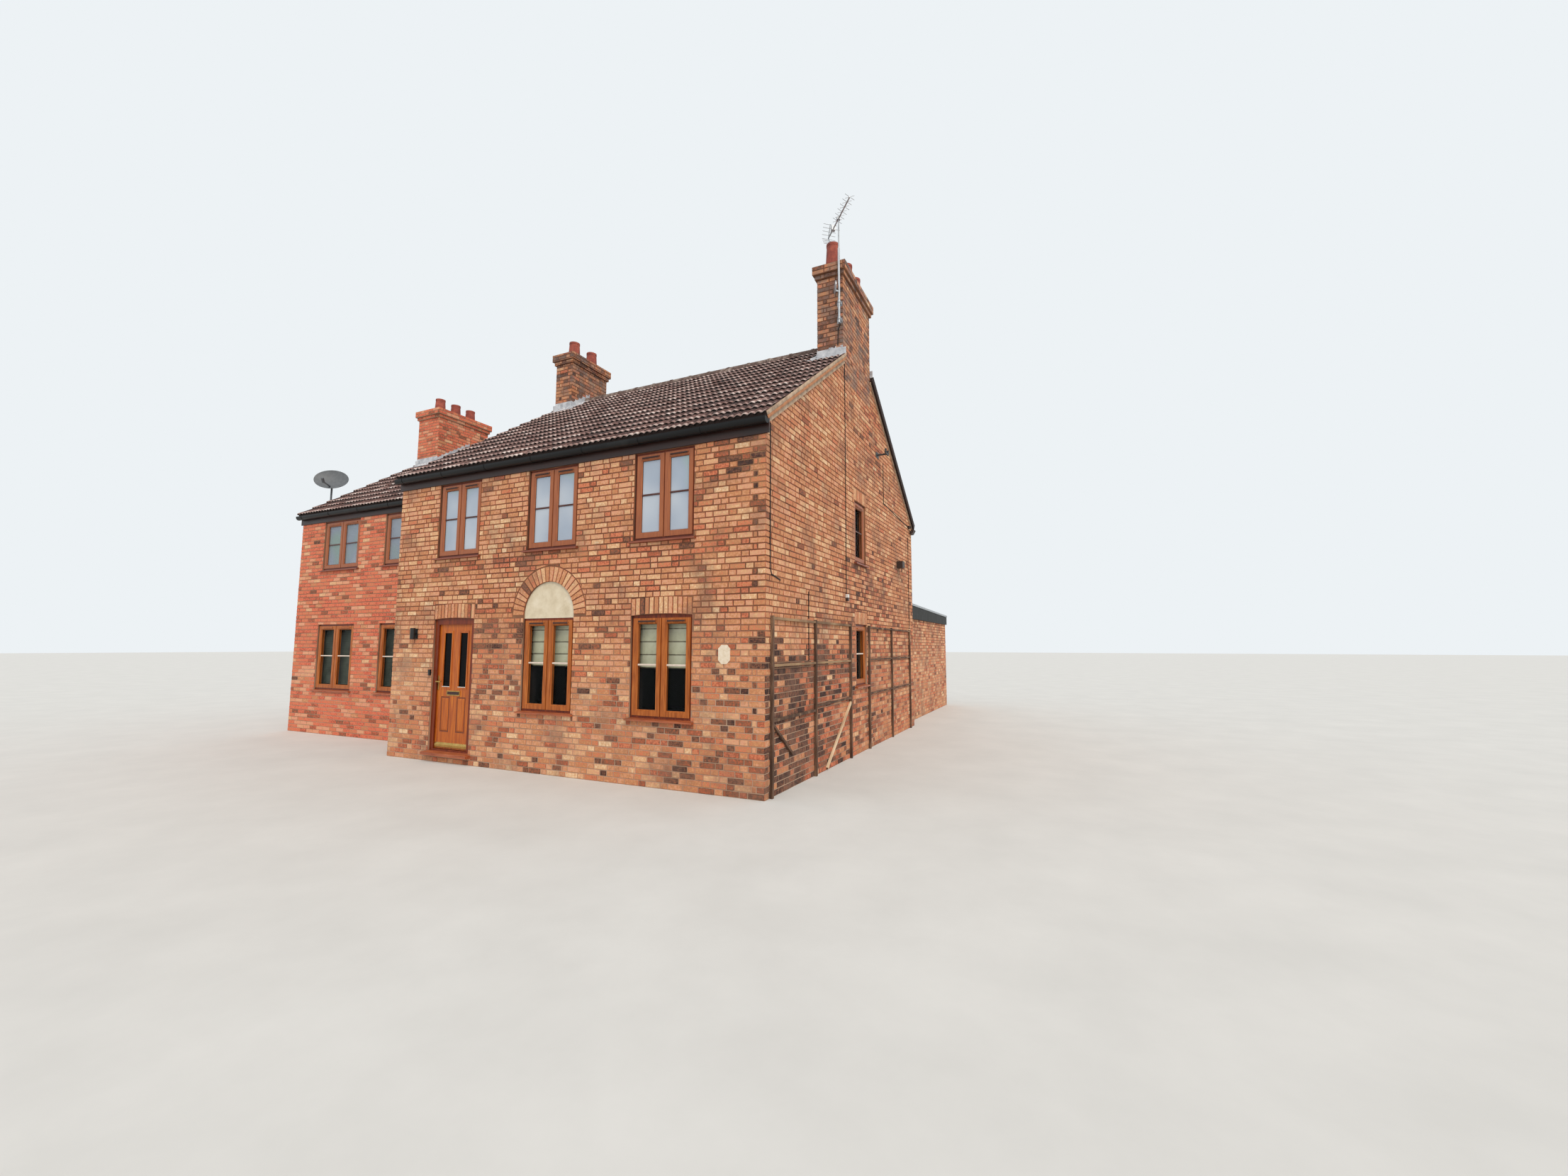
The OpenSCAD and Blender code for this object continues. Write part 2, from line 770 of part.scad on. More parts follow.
// Lead round one stack: an apron in front, stepped flashings at the inner side and a back gutter.
// side is 1 where the inner side faces right and -1 where it faces left.
module flashing(x0, w, y, d, front, side) {
    y0 = y - d / 2;
    y1 = y + d / 2;
    lay = 150;
    inner = side > 0 ? x0 + w : x0 - lead_t;
    out = side > 0 ? x0 : x0 + w;
    left = min(out, side > 0 ? x0 + w + lay : x0 - lay);
    right = max(out, side > 0 ? x0 + w + lay : x0 - lay);
    middle = (front + main_depth) / 2;
    steps = floor((middle - y0) / (course / slope));
    back_steps = floor((y1 - middle) / (course / slope));
    run = course / slope;
    // upstands on the front and the back face
    along_x(min(out, inner), max(out, inner + lead_t), [
        [y0 - lead_t, lead_z(y0 - lead_t, front)], [y0, lead_z(y0, front)],
        [y0, lead_z(y0, front) + lead_up], [y0 - lead_t, lead_z(y0, front) + lead_up]
    ]);
    along_x(min(out, inner), max(out, inner + lead_t), [
        [y1 + lead_t, lead_z(y1 + lead_t, front)], [y1, lead_z(y1, front)],
        [y1, lead_z(y1, front) + lead_up], [y1 + lead_t, lead_z(y1, front) + lead_up]
    ]);
    // sheets dressed over the tiles in front of and behind the stack
    along_x(left, right, [
        [y0 - lay, lead_z(y0 - lay, front)], [y0, lead_z(y0, front)],
        [y0, lead_z(y0, front) + lead_t], [y0 - lay, lead_z(y0 - lay, front) + lead_t]
    ]);
    along_x(left, right, [
        [y1 + lay, lead_z(y1 + lay, front)], [y1, lead_z(y1, front)],
        [y1, lead_z(y1, front) + lead_t], [y1 + lay, lead_z(y1 + lay, front) + lead_t]
    ]);
    // the stepped sheet on the inner side, one step for each course, and its sheet on the tiles
    difference() {
        union() {
            for (i = [0 : steps]) along_x(inner, inner + lead_t, [
                [y0 + i * run, lead_z(y0 + i * run, front)],
                [min(middle, y0 + (i + 1) * run), lead_z(min(middle, y0 + (i + 1) * run), front)],
                [min(middle, y0 + (i + 1) * run), lead_z(y0, front) + i * course + lead_up],
                [y0 + i * run, lead_z(y0, front) + i * course + lead_up]
            ]);
            for (i = [0 : back_steps]) along_x(inner, inner + lead_t, [
                [y1 - i * run, lead_z(y1 - i * run, front)],
                [max(middle, y1 - (i + 1) * run), lead_z(max(middle, y1 - (i + 1) * run), front)],
                [max(middle, y1 - (i + 1) * run), lead_z(y1, front) + i * course + lead_up],
                [y1 - i * run, lead_z(y1, front) + i * course + lead_up]
            ]);
            along_x(side > 0 ? inner : inner + lead_t - lay, side > 0 ? inner + lay : inner + lead_t, [
                [y0, lead_z(y0, front)], [middle, lead_z(middle, front)], [y1, lead_z(y1, front)],
                [y1, lead_z(y1, front) + lead_t], [middle, lead_z(middle, front) + lead_t],
                [y0, lead_z(y0, front) + lead_t]
            ]);
        }
        // the ridge tiles meet the stack here
        translate([inner - lay - past, middle, roof_z(middle, front) - ridge_drop]) rotate([0, 90, 0])
            cylinder(r = ridge_free, h = 2 * lay + lead_t + 2 * past);
    }
}

module chimney_flashings() {
    color("#c3c6c8") placed() {
        flashing(main_len - right_stack_w, right_stack_w, right_stack_y, right_stack_d, 0, -1);
        flashing(0, left_stack_w, left_stack_y, left_stack_d, 0, 1);
        flashing(-wing_len, wing_stack_w, wing_stack_y, wing_stack_d, wing_set_back, 1);
    }
}

// A sloping strip under a roof's overhang at a gable
function verge_outline(front) = let (
    middle = (front + main_depth) / 2, foot = roof_z(front, front) - roof_t - seat, top = roof_z(middle, front) - roof_t - seat
) [[front, foot], [middle, top], [middle, top - verge_h], [front, foot - verge_h]];

module verge(x0, x1, front) {
    middle = (front + main_depth) / 2;
    along_x(x0, x1, verge_outline(front));
    along_x(x0, x1, mirrored(verge_outline(front), middle));
}

module verge_trims() {
    color("#8b7d70") placed() difference() {
        union() {
            verge(main_len, main_len + verge_over * 0.6, 0);
            verge(-verge_over * 0.6, 0, 0);
            verge(-wing_len - verge_over * 0.6, -wing_len, wing_set_back);
        }
        right_stack_space();
        left_stack_space();
        wing_stack_space();
        // the wing's roof runs in under the main block's left verge
        along_x(-verge_over, past, [
            [wing_set_back - eaves_over - tile_foot, 0],
            [wing_set_back - eaves_over - tile_foot, edge_h + cover_t + past],
            [wing_mid, roof_z(wing_mid, wing_set_back) + cover_t + past],
            [main_depth + eaves_over + tile_foot, edge_h + cover_t + past],
            [main_depth + eaves_over + tile_foot, 0]
        ]);
    }
}

module fascia_boards() {
    color("#4a2520") placed() {
        block(-verge_over, main_len + verge_over, -fascia_t, 0, eaves_h, fascia_top);
        block(-wing_len - verge_over, 0, wing_set_back - fascia_t, wing_set_back, eaves_h, fascia_top);
        block(-wing_len - verge_over, main_len + verge_over, main_depth, main_depth + fascia_t,
            eaves_h, fascia_top);
    }
}

// Gutter profile: a flat back, a round belly and a front rim, in y and z from the back top corner
function belly(w, d, steps) = [for (i = [0 : steps]) let (a = 180 * i / steps)
    [-w / 2 + w / 2 * cos(a), -d * pow(sin(a), 0.7)]];

module gutter_shape(grow) {
    translate([grow, 0]) polygon(belly(gutter_w + 2 * grow, gutter_d + grow, 16));
}

module gutter(x0, x1) {
    rotate([90, 0, 90]) difference() {
        union() {
            translate([0, 0, x0]) linear_extrude(x1 - x0) gutter_shape(0);
            for (x = [x0 + 150 : gutter_pitch : x1 - 60])
                translate([0, 0, x]) linear_extrude(36) intersection() {
                    gutter_shape(gutter_t);
                    translate([-2 * gutter_w, -2 * gutter_d]) square([2 * gutter_w, 2 * gutter_d]);
                }
        }
        translate([0, 0, x0 + gutter_t]) linear_extrude(x1 - x0 - 2 * gutter_t)
            translate([-gutter_t, past]) polygon(belly(gutter_w - 2 * gutter_t, gutter_d - gutter_t + past, 16));
    }
}

module gutters() {
    color("#23272b") placed() {
        translate([0, -fascia_t, gutter_top]) gutter(-verge_over, main_len + verge_over);
        translate([0, wing_set_back - fascia_t, gutter_top]) gutter(-wing_len - verge_over, 0);
        translate([0, main_depth + fascia_t, gutter_top]) mirror([0, 1, 0])
            gutter(-wing_len - verge_over, main_len + verge_over);
    }
}

module brick_arches() {
    color("#bf8f63") placed() along_y(0, wall) {
        flat_arch(bay_left, door_w, door_head);
        flat_arch(bay_right, window_w, head_h);
        translate([bay_middle, spring_h]) difference() {
            circle(arch_r + ring_t, $fn = 96);
            circle(arch_r, $fn = 96);
            translate([-2 * arch_r, -4 * arch_r]) square([4 * arch_r, 4 * arch_r]);
        }
    }
}

module arch_panel() {
    color("#d9cda8") placed() along_y(panel_back, panel_back + panel_t) round_head(0);
}

// Windows: a place with the middle of the sill and the turn of the wall it stands in
// [x, y, turn, sill, head, width, lights, rise]
main_windows = [
    [bay_left, 0, 0, upper_sill_h, eaves_h, window_w, 2, 0],
    [bay_middle, 0, 0, upper_sill_h, eaves_h, window_w, 2, 0],
    [bay_right, 0, 0, upper_sill_h, eaves_h, window_w, 2, 0],
    [bay_middle, 0, 0, sill_h, head_h, window_w, 2, 0],
    [bay_right, 0, 0, sill_h, head_h, window_w, 2, arch_rise],
    [main_len, gable_window_y, 90, gable_sill_h, head_h - 20, gable_window_w, 1, 0],
    [main_len, gable_window_y, 90, gable_upper_sill_h, gable_upper_head_h, gable_window_w, 1, 0],
    [bay_left, main_depth, 180, upper_sill_h, eaves_h, window_w, 2, 0],
    [bay_middle, main_depth, 180, upper_sill_h, eaves_h, window_w, 2, 0],
    [bay_right, main_depth, 180, upper_sill_h, eaves_h, window_w, 2, 0],
    [ext_x0 + ext_bay, ext_y1, 180, wing_sill_h, head_h, wing_window_w, 2, 0],
    [ext_x1 - ext_bay, ext_y1, 180, wing_sill_h, head_h, wing_window_w, 2, 0]
];
wing_windows = [for (side = [[wing_set_back, 0], [main_depth, 180]]) for (x = [wing_bay - wing_len, -wing_bay])
    for (z = [[wing_sill_h, head_h + 35], [wing_upper_sill_h, eaves_h]])
        [x, side[0], side[1], z[0], z[1], wing_window_w, 2, 0]];

// Puts a window, drawn with its sill's middle at the origin and its outside towards -y, in its wall
module in_wall(p) {
    translate([p[0], p[1], p[3]]) rotate([0, 0, p[2]]) children();
}

function light_w(w, lights) = (w - frame_face * (lights + 1)) / lights;
function light_x(w, lights, i) = -w / 2 + frame_face + i * (light_w(w, lights) + frame_face);

sash_lap = 14;

module frame_piece(w, h, lights, rise) {
    lw = light_w(w, lights);
    along_y(reveal, reveal + frame_d) difference() {
        if (rise > 0) arched_hole(0, w, 0, h);
        else rect(0, w, 0, h);
        for (i = [0 : lights - 1]) translate([light_x(w, lights, i), frame_face])
            square([lw, h - 2 * frame_face]);
    }
}

// A sash fills its light, laps the fixed frame in front and carries a small vent hood at its head
module sash_piece(w, h, lights) {
    lw = light_w(w, lights);
    sh = h - 2 * frame_face;
    for (i = [0 : lights - 1]) translate([light_x(w, lights, i), 0, frame_face]) {
        along_y(reveal - sash_proud, reveal) difference() {
            translate([-sash_lap, -sash_lap]) square([lw + 2 * sash_lap, sh + 2 * sash_lap]);
            translate([sash_face - sash_lap, sash_face - sash_lap])
                square([lw - 2 * sash_face + 2 * sash_lap, sh - 2 * sash_face + 2 * sash_lap]);
        }
        along_y(reveal - past, reveal + frame_d - 12) difference() {
            square([lw, sh]);
            translate([sash_face - sash_lap, sash_face - sash_lap])
                square([lw - 2 * sash_face + 2 * sash_lap, sh - 2 * sash_face + 2 * sash_lap]);
        }
        block(lw * 0.16, lw * 0.84, reveal - sash_proud - 12, reveal - sash_proud + past,
            sh + sash_lap - sash_face + 14, sh + sash_lap - sash_face + 34);
    }
}

module glass_piece(w, h, lights) {
    lw = light_w(w, lights);
    sh = h - 2 * frame_face;
    rim = sash_face - sash_lap;
    for (i = [0 : lights - 1]) translate([light_x(w, lights, i), 0, frame_face])
        block(rim, lw - rim, reveal + 14, reveal + 14 + glass_t, rim, sh - rim);
}

module sill_piece(w) {
    along_x(-w / 2, w / 2, [
        [-sill_nose, -sill_t], [reveal + frame_d, -sill_t], [reveal + frame_d, 0], [reveal - 4, 0],
        [-sill_nose, -12]
    ]);
    along_x(-w / 2 - sill_horn, w / 2 + sill_horn, [[-sill_nose, -sill_t], [0, -sill_t], [0, -8], [-sill_nose, -12]]);
}

module window_frames() {
    color("#8a4a2c") placed() for (p = main_windows) in_wall(p) frame_piece(p[5], p[4] - p[3], p[6], p[7]);
}

module window_sashes() {
    color("#a8623a") placed() for (p = main_windows) in_wall(p) sash_piece(p[5], p[4] - p[3], p[6]);
}

module window_glass() {
    color("#b9cfdc") placed() for (p = main_windows) in_wall(p) glass_piece(p[5], p[4] - p[3], p[6]);
}

module wing_window_frames() {
    color("#8a4a2c") placed() for (p = wing_windows) in_wall(p) frame_piece(p[5], p[4] - p[3], p[6], p[7]);
}

module wing_window_sashes() {
    color("#a8623a") placed() for (p = wing_windows) in_wall(p) sash_piece(p[5], p[4] - p[3], p[6]);
}

module wing_window_glass() {
    color("#b9cfdc") placed() for (p = wing_windows) in_wall(p) glass_piece(p[5], p[4] - p[3], p[6]);
}

module window_sills() {
    color("#9c5a38") placed() for (p = concat(main_windows, wing_windows)) in_wall(p) sill_piece(p[5]);
}

// Blinds inside the reveals: folded cloth over the upper half of the main block's lower windows,
// full-height slatted blinds in the wing's lower windows and short ones in its upper windows
blind_t = 24;

module blind(p, share) {
    h = p[4] - p[3];
    in_wall(p) block(-p[5] / 2, p[5] / 2, reveal + frame_d + 30, reveal + frame_d + 30 + blind_t,
        h - share * h, h - 2);
}

module window_blinds() {
    color("#e4dcc6") placed() {
        blind(main_windows[3], 0.52);
        blind(main_windows[4], 0.52);
        for (p = [wing_windows[0], wing_windows[2]]) blind(p, 0.94);
        for (p = [wing_windows[1], wing_windows[3]]) blind(p, 0.9);
    }
}

// The door frame: jambs and an arched head, with a stop in front of the leaf, and a low threshold
module door_frame() {
    color("#8f5230") placed() {
        along_y(reveal, reveal + stop_t) difference() {
            arched_hole(bay_left, door_w, door_foot, door_head);
            rect(bay_left, door_w - 2 * door_face - 2 * stop_lap, leaf_foot - 6, door_head - door_face - stop_lap);
        }
        along_y(reveal + stop_t - past, reveal + door_frame_d) difference() {
            arched_hole(bay_left, door_w, door_foot, door_head);
            rect(bay_left, door_w - 2 * door_face, door_foot + 26, door_head - door_face);
        }
    }
}

// One half of a hinge: a knuckle on the pin's axis and a flat leaf beside it, on the frame's back
// face (side 1) or on the door's (side -1)
module hinge_half(side) {
    cylinder(r = hinge_r, h = hinge_h);
    translate([side > 0 ? 0 : -34, -hinge_r - 1.5, 0]) cube([34, hinge_leaf_t, hinge_h]);
}

module door_hinges() {
    color("#c9b07a") placed() for (z = hinge_z) translate([pin_x, pin_y, z]) {
        translate([0, 0, -hinge_h]) hinge_half(1);
        cylinder(r = hinge_pin_r, h = hinge_h);
    }
}

module door_sill() {
    color("#94553a") placed() union() {
        along_x(door_x0, door_x1, [
            [-door_sill_nose, door_foot - door_sill_t], [wall, door_foot - door_sill_t], [wall, floor_h],
            [reveal + door_frame_d, floor_h], [reveal + door_frame_d, door_foot], [reveal - 6, door_foot],
            [-door_sill_nose, door_foot - 16]
        ]);
        along_x(door_x0 - 55, door_x1 + 55, [
            [-door_sill_nose, door_foot - door_sill_t], [0, door_foot - door_sill_t], [0, door_foot - 10],
            [-door_sill_nose, door_foot - 16]
        ]);
    }
}

// The middles of the leaf's two columns, in which its lights and panels stand
leaf_columns = [leaf_w / 2 - leaf_column, leaf_w / 2 + leaf_column];

// The leaf: moulded beads round two tall lights, and two raised and fielded panels below
module door_leaf() {
    color("#b3693a") placed() translate([leaf_x0, leaf_y0, leaf_foot]) difference() {
        union() {
            cube([leaf_w, leaf_t, leaf_h]);
            for (x = leaf_columns) {
                along_y(-7, past) rect(x, leaf_glass_w + 2 * bead, leaf_glass_z - bead,
                    leaf_glass_z + leaf_glass_h + bead);
                translate([x, past, leaf_panel_z + leaf_panel_h / 2]) rotate([90, 0, 0]) frustum(
                    leaf_panel_w - 46, leaf_panel_h - 46, leaf_panel_w - 84, leaf_panel_h - 84, 7);
            }
        }
        for (x = leaf_columns) {
            along_y(-10, leaf_t + past) rect(x, leaf_glass_w, leaf_glass_z, leaf_glass_z + leaf_glass_h);
            along_y(-past, 6) difference() {
                rect(x, leaf_panel_w, leaf_panel_z, leaf_panel_z + leaf_panel_h);
                rect(x, leaf_panel_w - 44, leaf_panel_z + 22, leaf_panel_z + leaf_panel_h - 22);
            }
        }
    }
}

module door_glass() {
    color("#23282c") placed() translate([leaf_x0, leaf_y0, leaf_foot]) for (x = leaf_columns)
        along_y(12, 12 + leaf_glass_t) rect(x, leaf_glass_w, leaf_glass_z, leaf_glass_z + leaf_glass_h);
}

// Lever handles on long plates outside and inside, a letter plate, a weather bar across the foot
// and the leaf's half of each hinge
module lever(side) {
    plate_y = side > 0 ? leaf_t : -8;
    block(18, 50, plate_y, plate_y + 8, handle_z - 130, handle_z + 90);
    translate([34, plate_y + 4, handle_z]) rotate([side > 0 ? -90 : 90, 0, 0]) cylinder(d = 18, h = 46);
    translate([25, side > 0 ? leaf_t + 42 : -54, handle_z - 9]) cube([118, 12, 18]);
}

module door_furniture() {
    color("#c9a15a") placed() translate([leaf_x0, leaf_y0, leaf_foot]) {
        lever(-1);
        lever(1);
        difference() {
            block(leaf_w / 2 - 150, leaf_w / 2 + 150, -8, 0, letter_z, letter_z + 74);
            block(leaf_w / 2 - 125, leaf_w / 2 + 125, -10, -4, letter_z + 16, letter_z + 58);
        }
        block(leaf_w / 2 - 124, leaf_w / 2 + 124, -7, -4, letter_z + 17, letter_z + 57);
        along_x(weather_bar_end, leaf_w - weather_bar_end, [[0, 20], [-14, 24], [-18, 60], [0, 92]]);
        for (z = hinge_z) translate([pin_x - leaf_x0, pin_y - leaf_y0, z - leaf_foot + hinge_fit])
            difference() {
                hinge_half(-1);
                translate([0, 0, -past]) cylinder(r = hinge_pin_r + hinge_fit, h = hinge_h + 2 * past);
            }
    }
}

// An up and down light and a small bell box beside the door
light_x0 = door_x0 - 475;
light_z = 1895;
light_h = 180;
bell_z = 1325;
module wall_light() {
    color("#1c1d1f") placed() {
        block(light_x0, light_x0 + 90, -14, 0, light_z + 10, light_z + light_h - 10);
        translate([light_x0 + 45, -62, light_z]) cylinder(d = 76, h = light_h);
        block(light_x0 + 30, light_x0 + 60, -40, -10, light_z + light_h / 2 - 20, light_z + light_h / 2 + 20);
        block(door_x0 - 48, door_x0 - 8, -32, 0, bell_z, bell_z + 90);
    }
}

// On the right gable, measured from its back corner: a box lamp, a floodlight on its bracket and a
// camera; and a small sensor at the foot of the long cable
box_lamp_z = 3465;
flood_z = 4400;
camera_z = 4500;
long_cable_y = 2930;
long_cable_foot = 2640;
module gable_lamps() {
    color("#3a2a22") placed() {
        translate([main_len, main_depth, 0]) {
            block(0, 130, -1370, -1180, box_lamp_z, box_lamp_z + 145);
            block(0, 40, -160, -80, flood_z, flood_z + 70);
            translate([40, -200, flood_z + 5]) rotate([0, 28, 0]) cube([36, 170, 110]);
            block(0, 36, -300, -230, camera_z, camera_z + 70);
            translate([30, -265, camera_z + 35]) rotate([100, 0, 20]) cylinder(d = 62, h = 120);
        }
        block(main_len, main_len + 45, long_cable_y - 30, long_cable_y + 30, long_cable_foot - 110,
            long_cable_foot - 10);
    }
}

// A bare plaque with long sides and cut corners
plaque_w = 165;
plaque_h = 235;
plaque_x = main_len - 555;
plaque_z = 1575;
module name_plaque() {
    color("#d8cdb0") placed() along_y(-14, 0) translate([plaque_x, plaque_z]) polygon([
        [-plaque_w / 2, 46], [-plaque_w / 2 + 46, 0], [plaque_w / 2 - 46, 0], [plaque_w / 2, 46],
        [plaque_w / 2, plaque_h - 46], [plaque_w / 2 - 46, plaque_h], [-plaque_w / 2 + 46, plaque_h],
        [-plaque_w / 2, plaque_h - 46]
    ]);
}

// A steel bracket with two insulators, high on the right gable
module service_bracket() {
    color("#4b4f52") placed() translate([main_len, 4850, 5530]) {
        block(0, 8, -90, 90, -60, 60);
        block(0, 210, -14, 14, -14, 14);
        block(182, 210, -100, 100, -14, 14);
        for (y = [-80, 80]) translate([196, y, 14 - past]) {
            cylinder(d = 44, h = 30);
            translate([0, 0, 28]) cylinder(d = 28, h = 20);
            translate([0, 0, 46]) cylinder(d = 44, h = 24);
        }
    }
}

// Cables clipped flat to the right gable, in y and z: one hooks back near the front corner, one
// drops from the verge to the sensor, one feeds the lamps, one is broken by the trellis's top rail
// and the last drops from the lamps
cable_runs = [
    [[105, eaves_h + 160], [112, 2745], [150, 2672], [400, 2625]],
    [[long_cable_y, roof_z(long_cable_y, 0) - roof_t - verge_h - 2 * cable_d], [long_cable_y, long_cable_foot]],
    [[5240, 5470], [5240, 4650], [main_depth - 320, camera_z + 30]],
    [[1330, 2550], [1330, trellis_h + cable_d]],
    [[1330, trellis_h - rail - 3 * cable_d], [1330, trellis_mid_z + rail + cable_d]],
    [[main_depth - 360, 4270], [main_depth - 360, trellis_h + 2 * cable_d]]
];

module cable_run(points) {
    rotate([90, 0, 90]) linear_extrude(cable_d * 0.6) for (i = [0 : len(points) - 2]) {
        leg = points[i + 1] - points[i];
        translate(points[i]) rotate(atan2(leg[1], leg[0])) translate([-cable_d / 2, -cable_d / 2])
            square([norm(leg) + cable_d, cable_d]);
    }
}

module wall_cables() {
    color("#2a2b2c") placed() {
        translate([main_len, 0, 0]) for (run = cable_runs) cable_run(run);
        // down the front of the right stack, bent in under the mast
        translate([mast_x, right_stack_front, 0]) rotate([0, 0, -90]) {
            cable_run([
                [-10, mast_bracket_z[0] - mast_plate_h / 2 - cable_d], [-52, mast_foot - 60],
                [-58, lead_z(right_stack_front, 0) + lead_up + cable_d]
            ]);
        }
    }
}

// A trellis panel: posts from the ground, rails between them and slanted struts
module trellis(posts, rails, diagonals) {
    for (y = posts) block(0, post, y - post / 2, y + post / 2, 0, trellis_h);
    for (r = rails) block(6, 6 + rail, r[0], r[1], r[2] - rail / 2, r[2] + rail / 2);
    for (q = diagonals) {
        run = norm([q[2] - q[0], q[3] - q[1]]);
        translate([6, q[0], q[1]]) rotate([atan2(q[3] - q[1], q[2] - q[0]), 0, 0])
            translate([0, 0, -rail / 2]) cube([rail, run, rail]);
    }
}

module front_trellis() {
    color("#8d7a66") placed() translate([main_len, 0, 0]) trellis(
        [150, 1550, 3080],
        [[150, 3080, trellis_h - rail], [150, 3080, trellis_mid_z], [150, 1550, 900], [1550, 3080, trellis_low_z]],
        [[150, 880, 760, 420], [3080, 900, 1980, 30]]
    );
}

module rear_trellis() {
    posts = [main_depth - 3490, main_depth - 1950, main_depth - 420];
    color("#8d7a66") placed() translate([main_len, 0, 0]) trellis(
        posts, [for (z = [trellis_h - rail, trellis_mid_z, trellis_low_z]) [posts[0], posts[2], z]], []
    );
}

// The aerial: a mast on two brackets, a boom with crossed directors, a box at the feed point and
// two leaning arms of reflector rods behind it, and a small round dish lower on the mast
module tv_aerial() {
    color("#b9bcc0") placed() {
        for (z = mast_bracket_z) {
            block(mast_x - 62, mast_x + 28, right_stack_front - 8, right_stack_front, z - mast_plate_h / 2,
                z + mast_plate_h / 2);
            block(mast_x - 14, mast_x + 14, mast_y, right_stack_front - 4, z - 14, z + 14);
            translate([mast_x, mast_y, z - 22]) cylinder(d = mast_d + 12, h = 44);
        }
        translate([mast_x, mast_y, mast_foot]) {
            cylinder(d = mast_d, h = mast_step_z - mast_foot);
            cylinder(d = mast_d * 0.6, h = aerial_h + 30 - mast_foot);
        }
        translate([mast_x, mast_y, aerial_h]) rotate([0, 0, boom_turn - 90]) {
            translate([-(1 - boom_ahead) * boom_len, -boom_side / 2, -boom_side / 2])
                cube([boom_len, boom_side, boom_side]);
            translate([-40, -26, -26]) cube([60, 52, 52]);
            for (i = [0 : 5], lean = [-director_lean, director_lean])
                translate([boom_len * (boom_ahead - i * 0.11) - rod_d / 2, 0, 0]) rotate([90 + lean, 0, 0])
                    cylinder(d = rod_d, h = director_len, center = true, $fn = 16);
            translate([-0.29 * boom_len, -34, -30]) cube([62, 68, 86]);
            translate([-0.28 * boom_len + 20, 0, 0]) rotate([90, 0, 0])
                cylinder(d = rod_d, h = reflector_len, center = true, $fn = 16);
            for (side = [-1, 1]) translate([-(1 - boom_ahead) * boom_len, 0, 0])
                rotate([0, -side * reflector_lean, 0]) {
                    translate([-4, -6, -5]) cube([reflector_arm, 12, 10]);
                    for (k = [1 : 4]) translate([k * reflector_arm / 4 - 12, 0, 0]) rotate([90, 0, 0])
                        cylinder(d = rod_d, h = reflector_len, center = true, $fn = 16);
                }
        }
        translate([mast_x - 40, mast_y - 58, small_dish_z]) rotate([0, 0, -62]) rotate([90, 0, 0])
            cylinder(d = small_dish_d, h = 14);
        translate([mast_x, mast_y, small_dish_z - 60]) rotate([0, 0, 228]) translate([0, -9, 0]) cube([66, 18, 26]);
    }
}

// The satellite dish: a shallow oval bowl on a pole, with an arm and a receiver in front
module dish_bowl() {
    r = (pow(dish_w / 2, 2) + dish_deep * dish_deep) / (2 * dish_deep);
    scale([1, dish_share, 1]) rotate_extrude($fn = 40) polygon(concat(
        [for (i = [0 : 7]) let (s = dish_w / 2 * i / 7) [s, r - sqrt(r * r - s * s)]],
        [for (i = [7 : -1 : 0]) let (s = dish_w / 2 * i / 7) [s, r - sqrt(r * r - s * s) + dish_t]]
    ));
}

module satellite_dish() {
    color("#6e7276") placed() translate([dish_pole_x, dish_pole_y, 0]) {
        translate([0, 0, dish_pole_foot]) cylinder(d = dish_pole_d, h = dish_pole_top - dish_pole_foot);
        for (z = [dish_pole_foot + 40, dish_pole_foot + 240]) {
            block(0, -dish_pole_x - wing_len, -16, 16, z - 14, z + 14);
            block(-dish_pole_x - wing_len - 8, -dish_pole_x - wing_len, -60, 60, z - 50, z + 50);
        }
        translate([0, 0, dish_pole_top - 60]) rotate([0, 0, dish_turn]) rotate([90 - dish_tilt, 0, 0]) {
            translate([0, dish_lift, dish_ahead - dish_deep]) dish_bowl();
            translate([-45, 30, -30]) cube([90, 130, dish_ahead - 24]);
            translate([-14, -60, dish_ahead - dish_deep + 6]) rotate([22, 0, 0]) cube([28, 20, 400]);
            translate([0, -200, dish_ahead + 300]) rotate([-24, 0, 0]) cylinder(d = 60, h = 110);
        }
    }
}

// Height of the flat roof over y, less a drop
function deck_z(y, drop) = ext_h - ext_fall * (y - main_depth) / ext_len - drop;

// A band round the extension's three free sides, from z0 up to a line under the roof's upper face
module deck_band(grow, z0, drop_low, drop) {
    difference() {
        intersection() {
            block(ext_x0 - grow, ext_x1 + grow, main_depth, ext_y1 + grow, z0, sky);
            along_x(ext_x0 - grow, ext_x1 + grow, [
                [main_depth, drop_low > 0 ? deck_z(main_depth, drop_low) : z0],
                [ext_y1 + grow, drop_low > 0 ? deck_z(ext_y1 + grow, drop_low) : z0],
                [ext_y1 + grow, deck_z(ext_y1 + grow, drop)], [main_depth, deck_z(main_depth, drop)]
            ]);
        }
        block(ext_x0, ext_x1, main_depth - past, ext_y1, 0, sky);
    }
}

module extension_roof() {
    color("#7d8286") placed() along_x(ext_x0, ext_x1, [
        [main_depth, ext_deck_z], [ext_y1, ext_deck_z], [ext_y1, deck_z(ext_y1, 0)],
        [main_depth, deck_z(main_depth, 0)]
    ]);
}

module extension_fascia() {
    color("#3d4348") placed() deck_band(ext_fascia_t, ext_fascia_z, 0, ext_trim_h);
}

module extension_trim() {
    color("#8a939b") placed() deck_band(ext_fascia_t + ext_trim_lip, 0, ext_trim_h, 0);
}

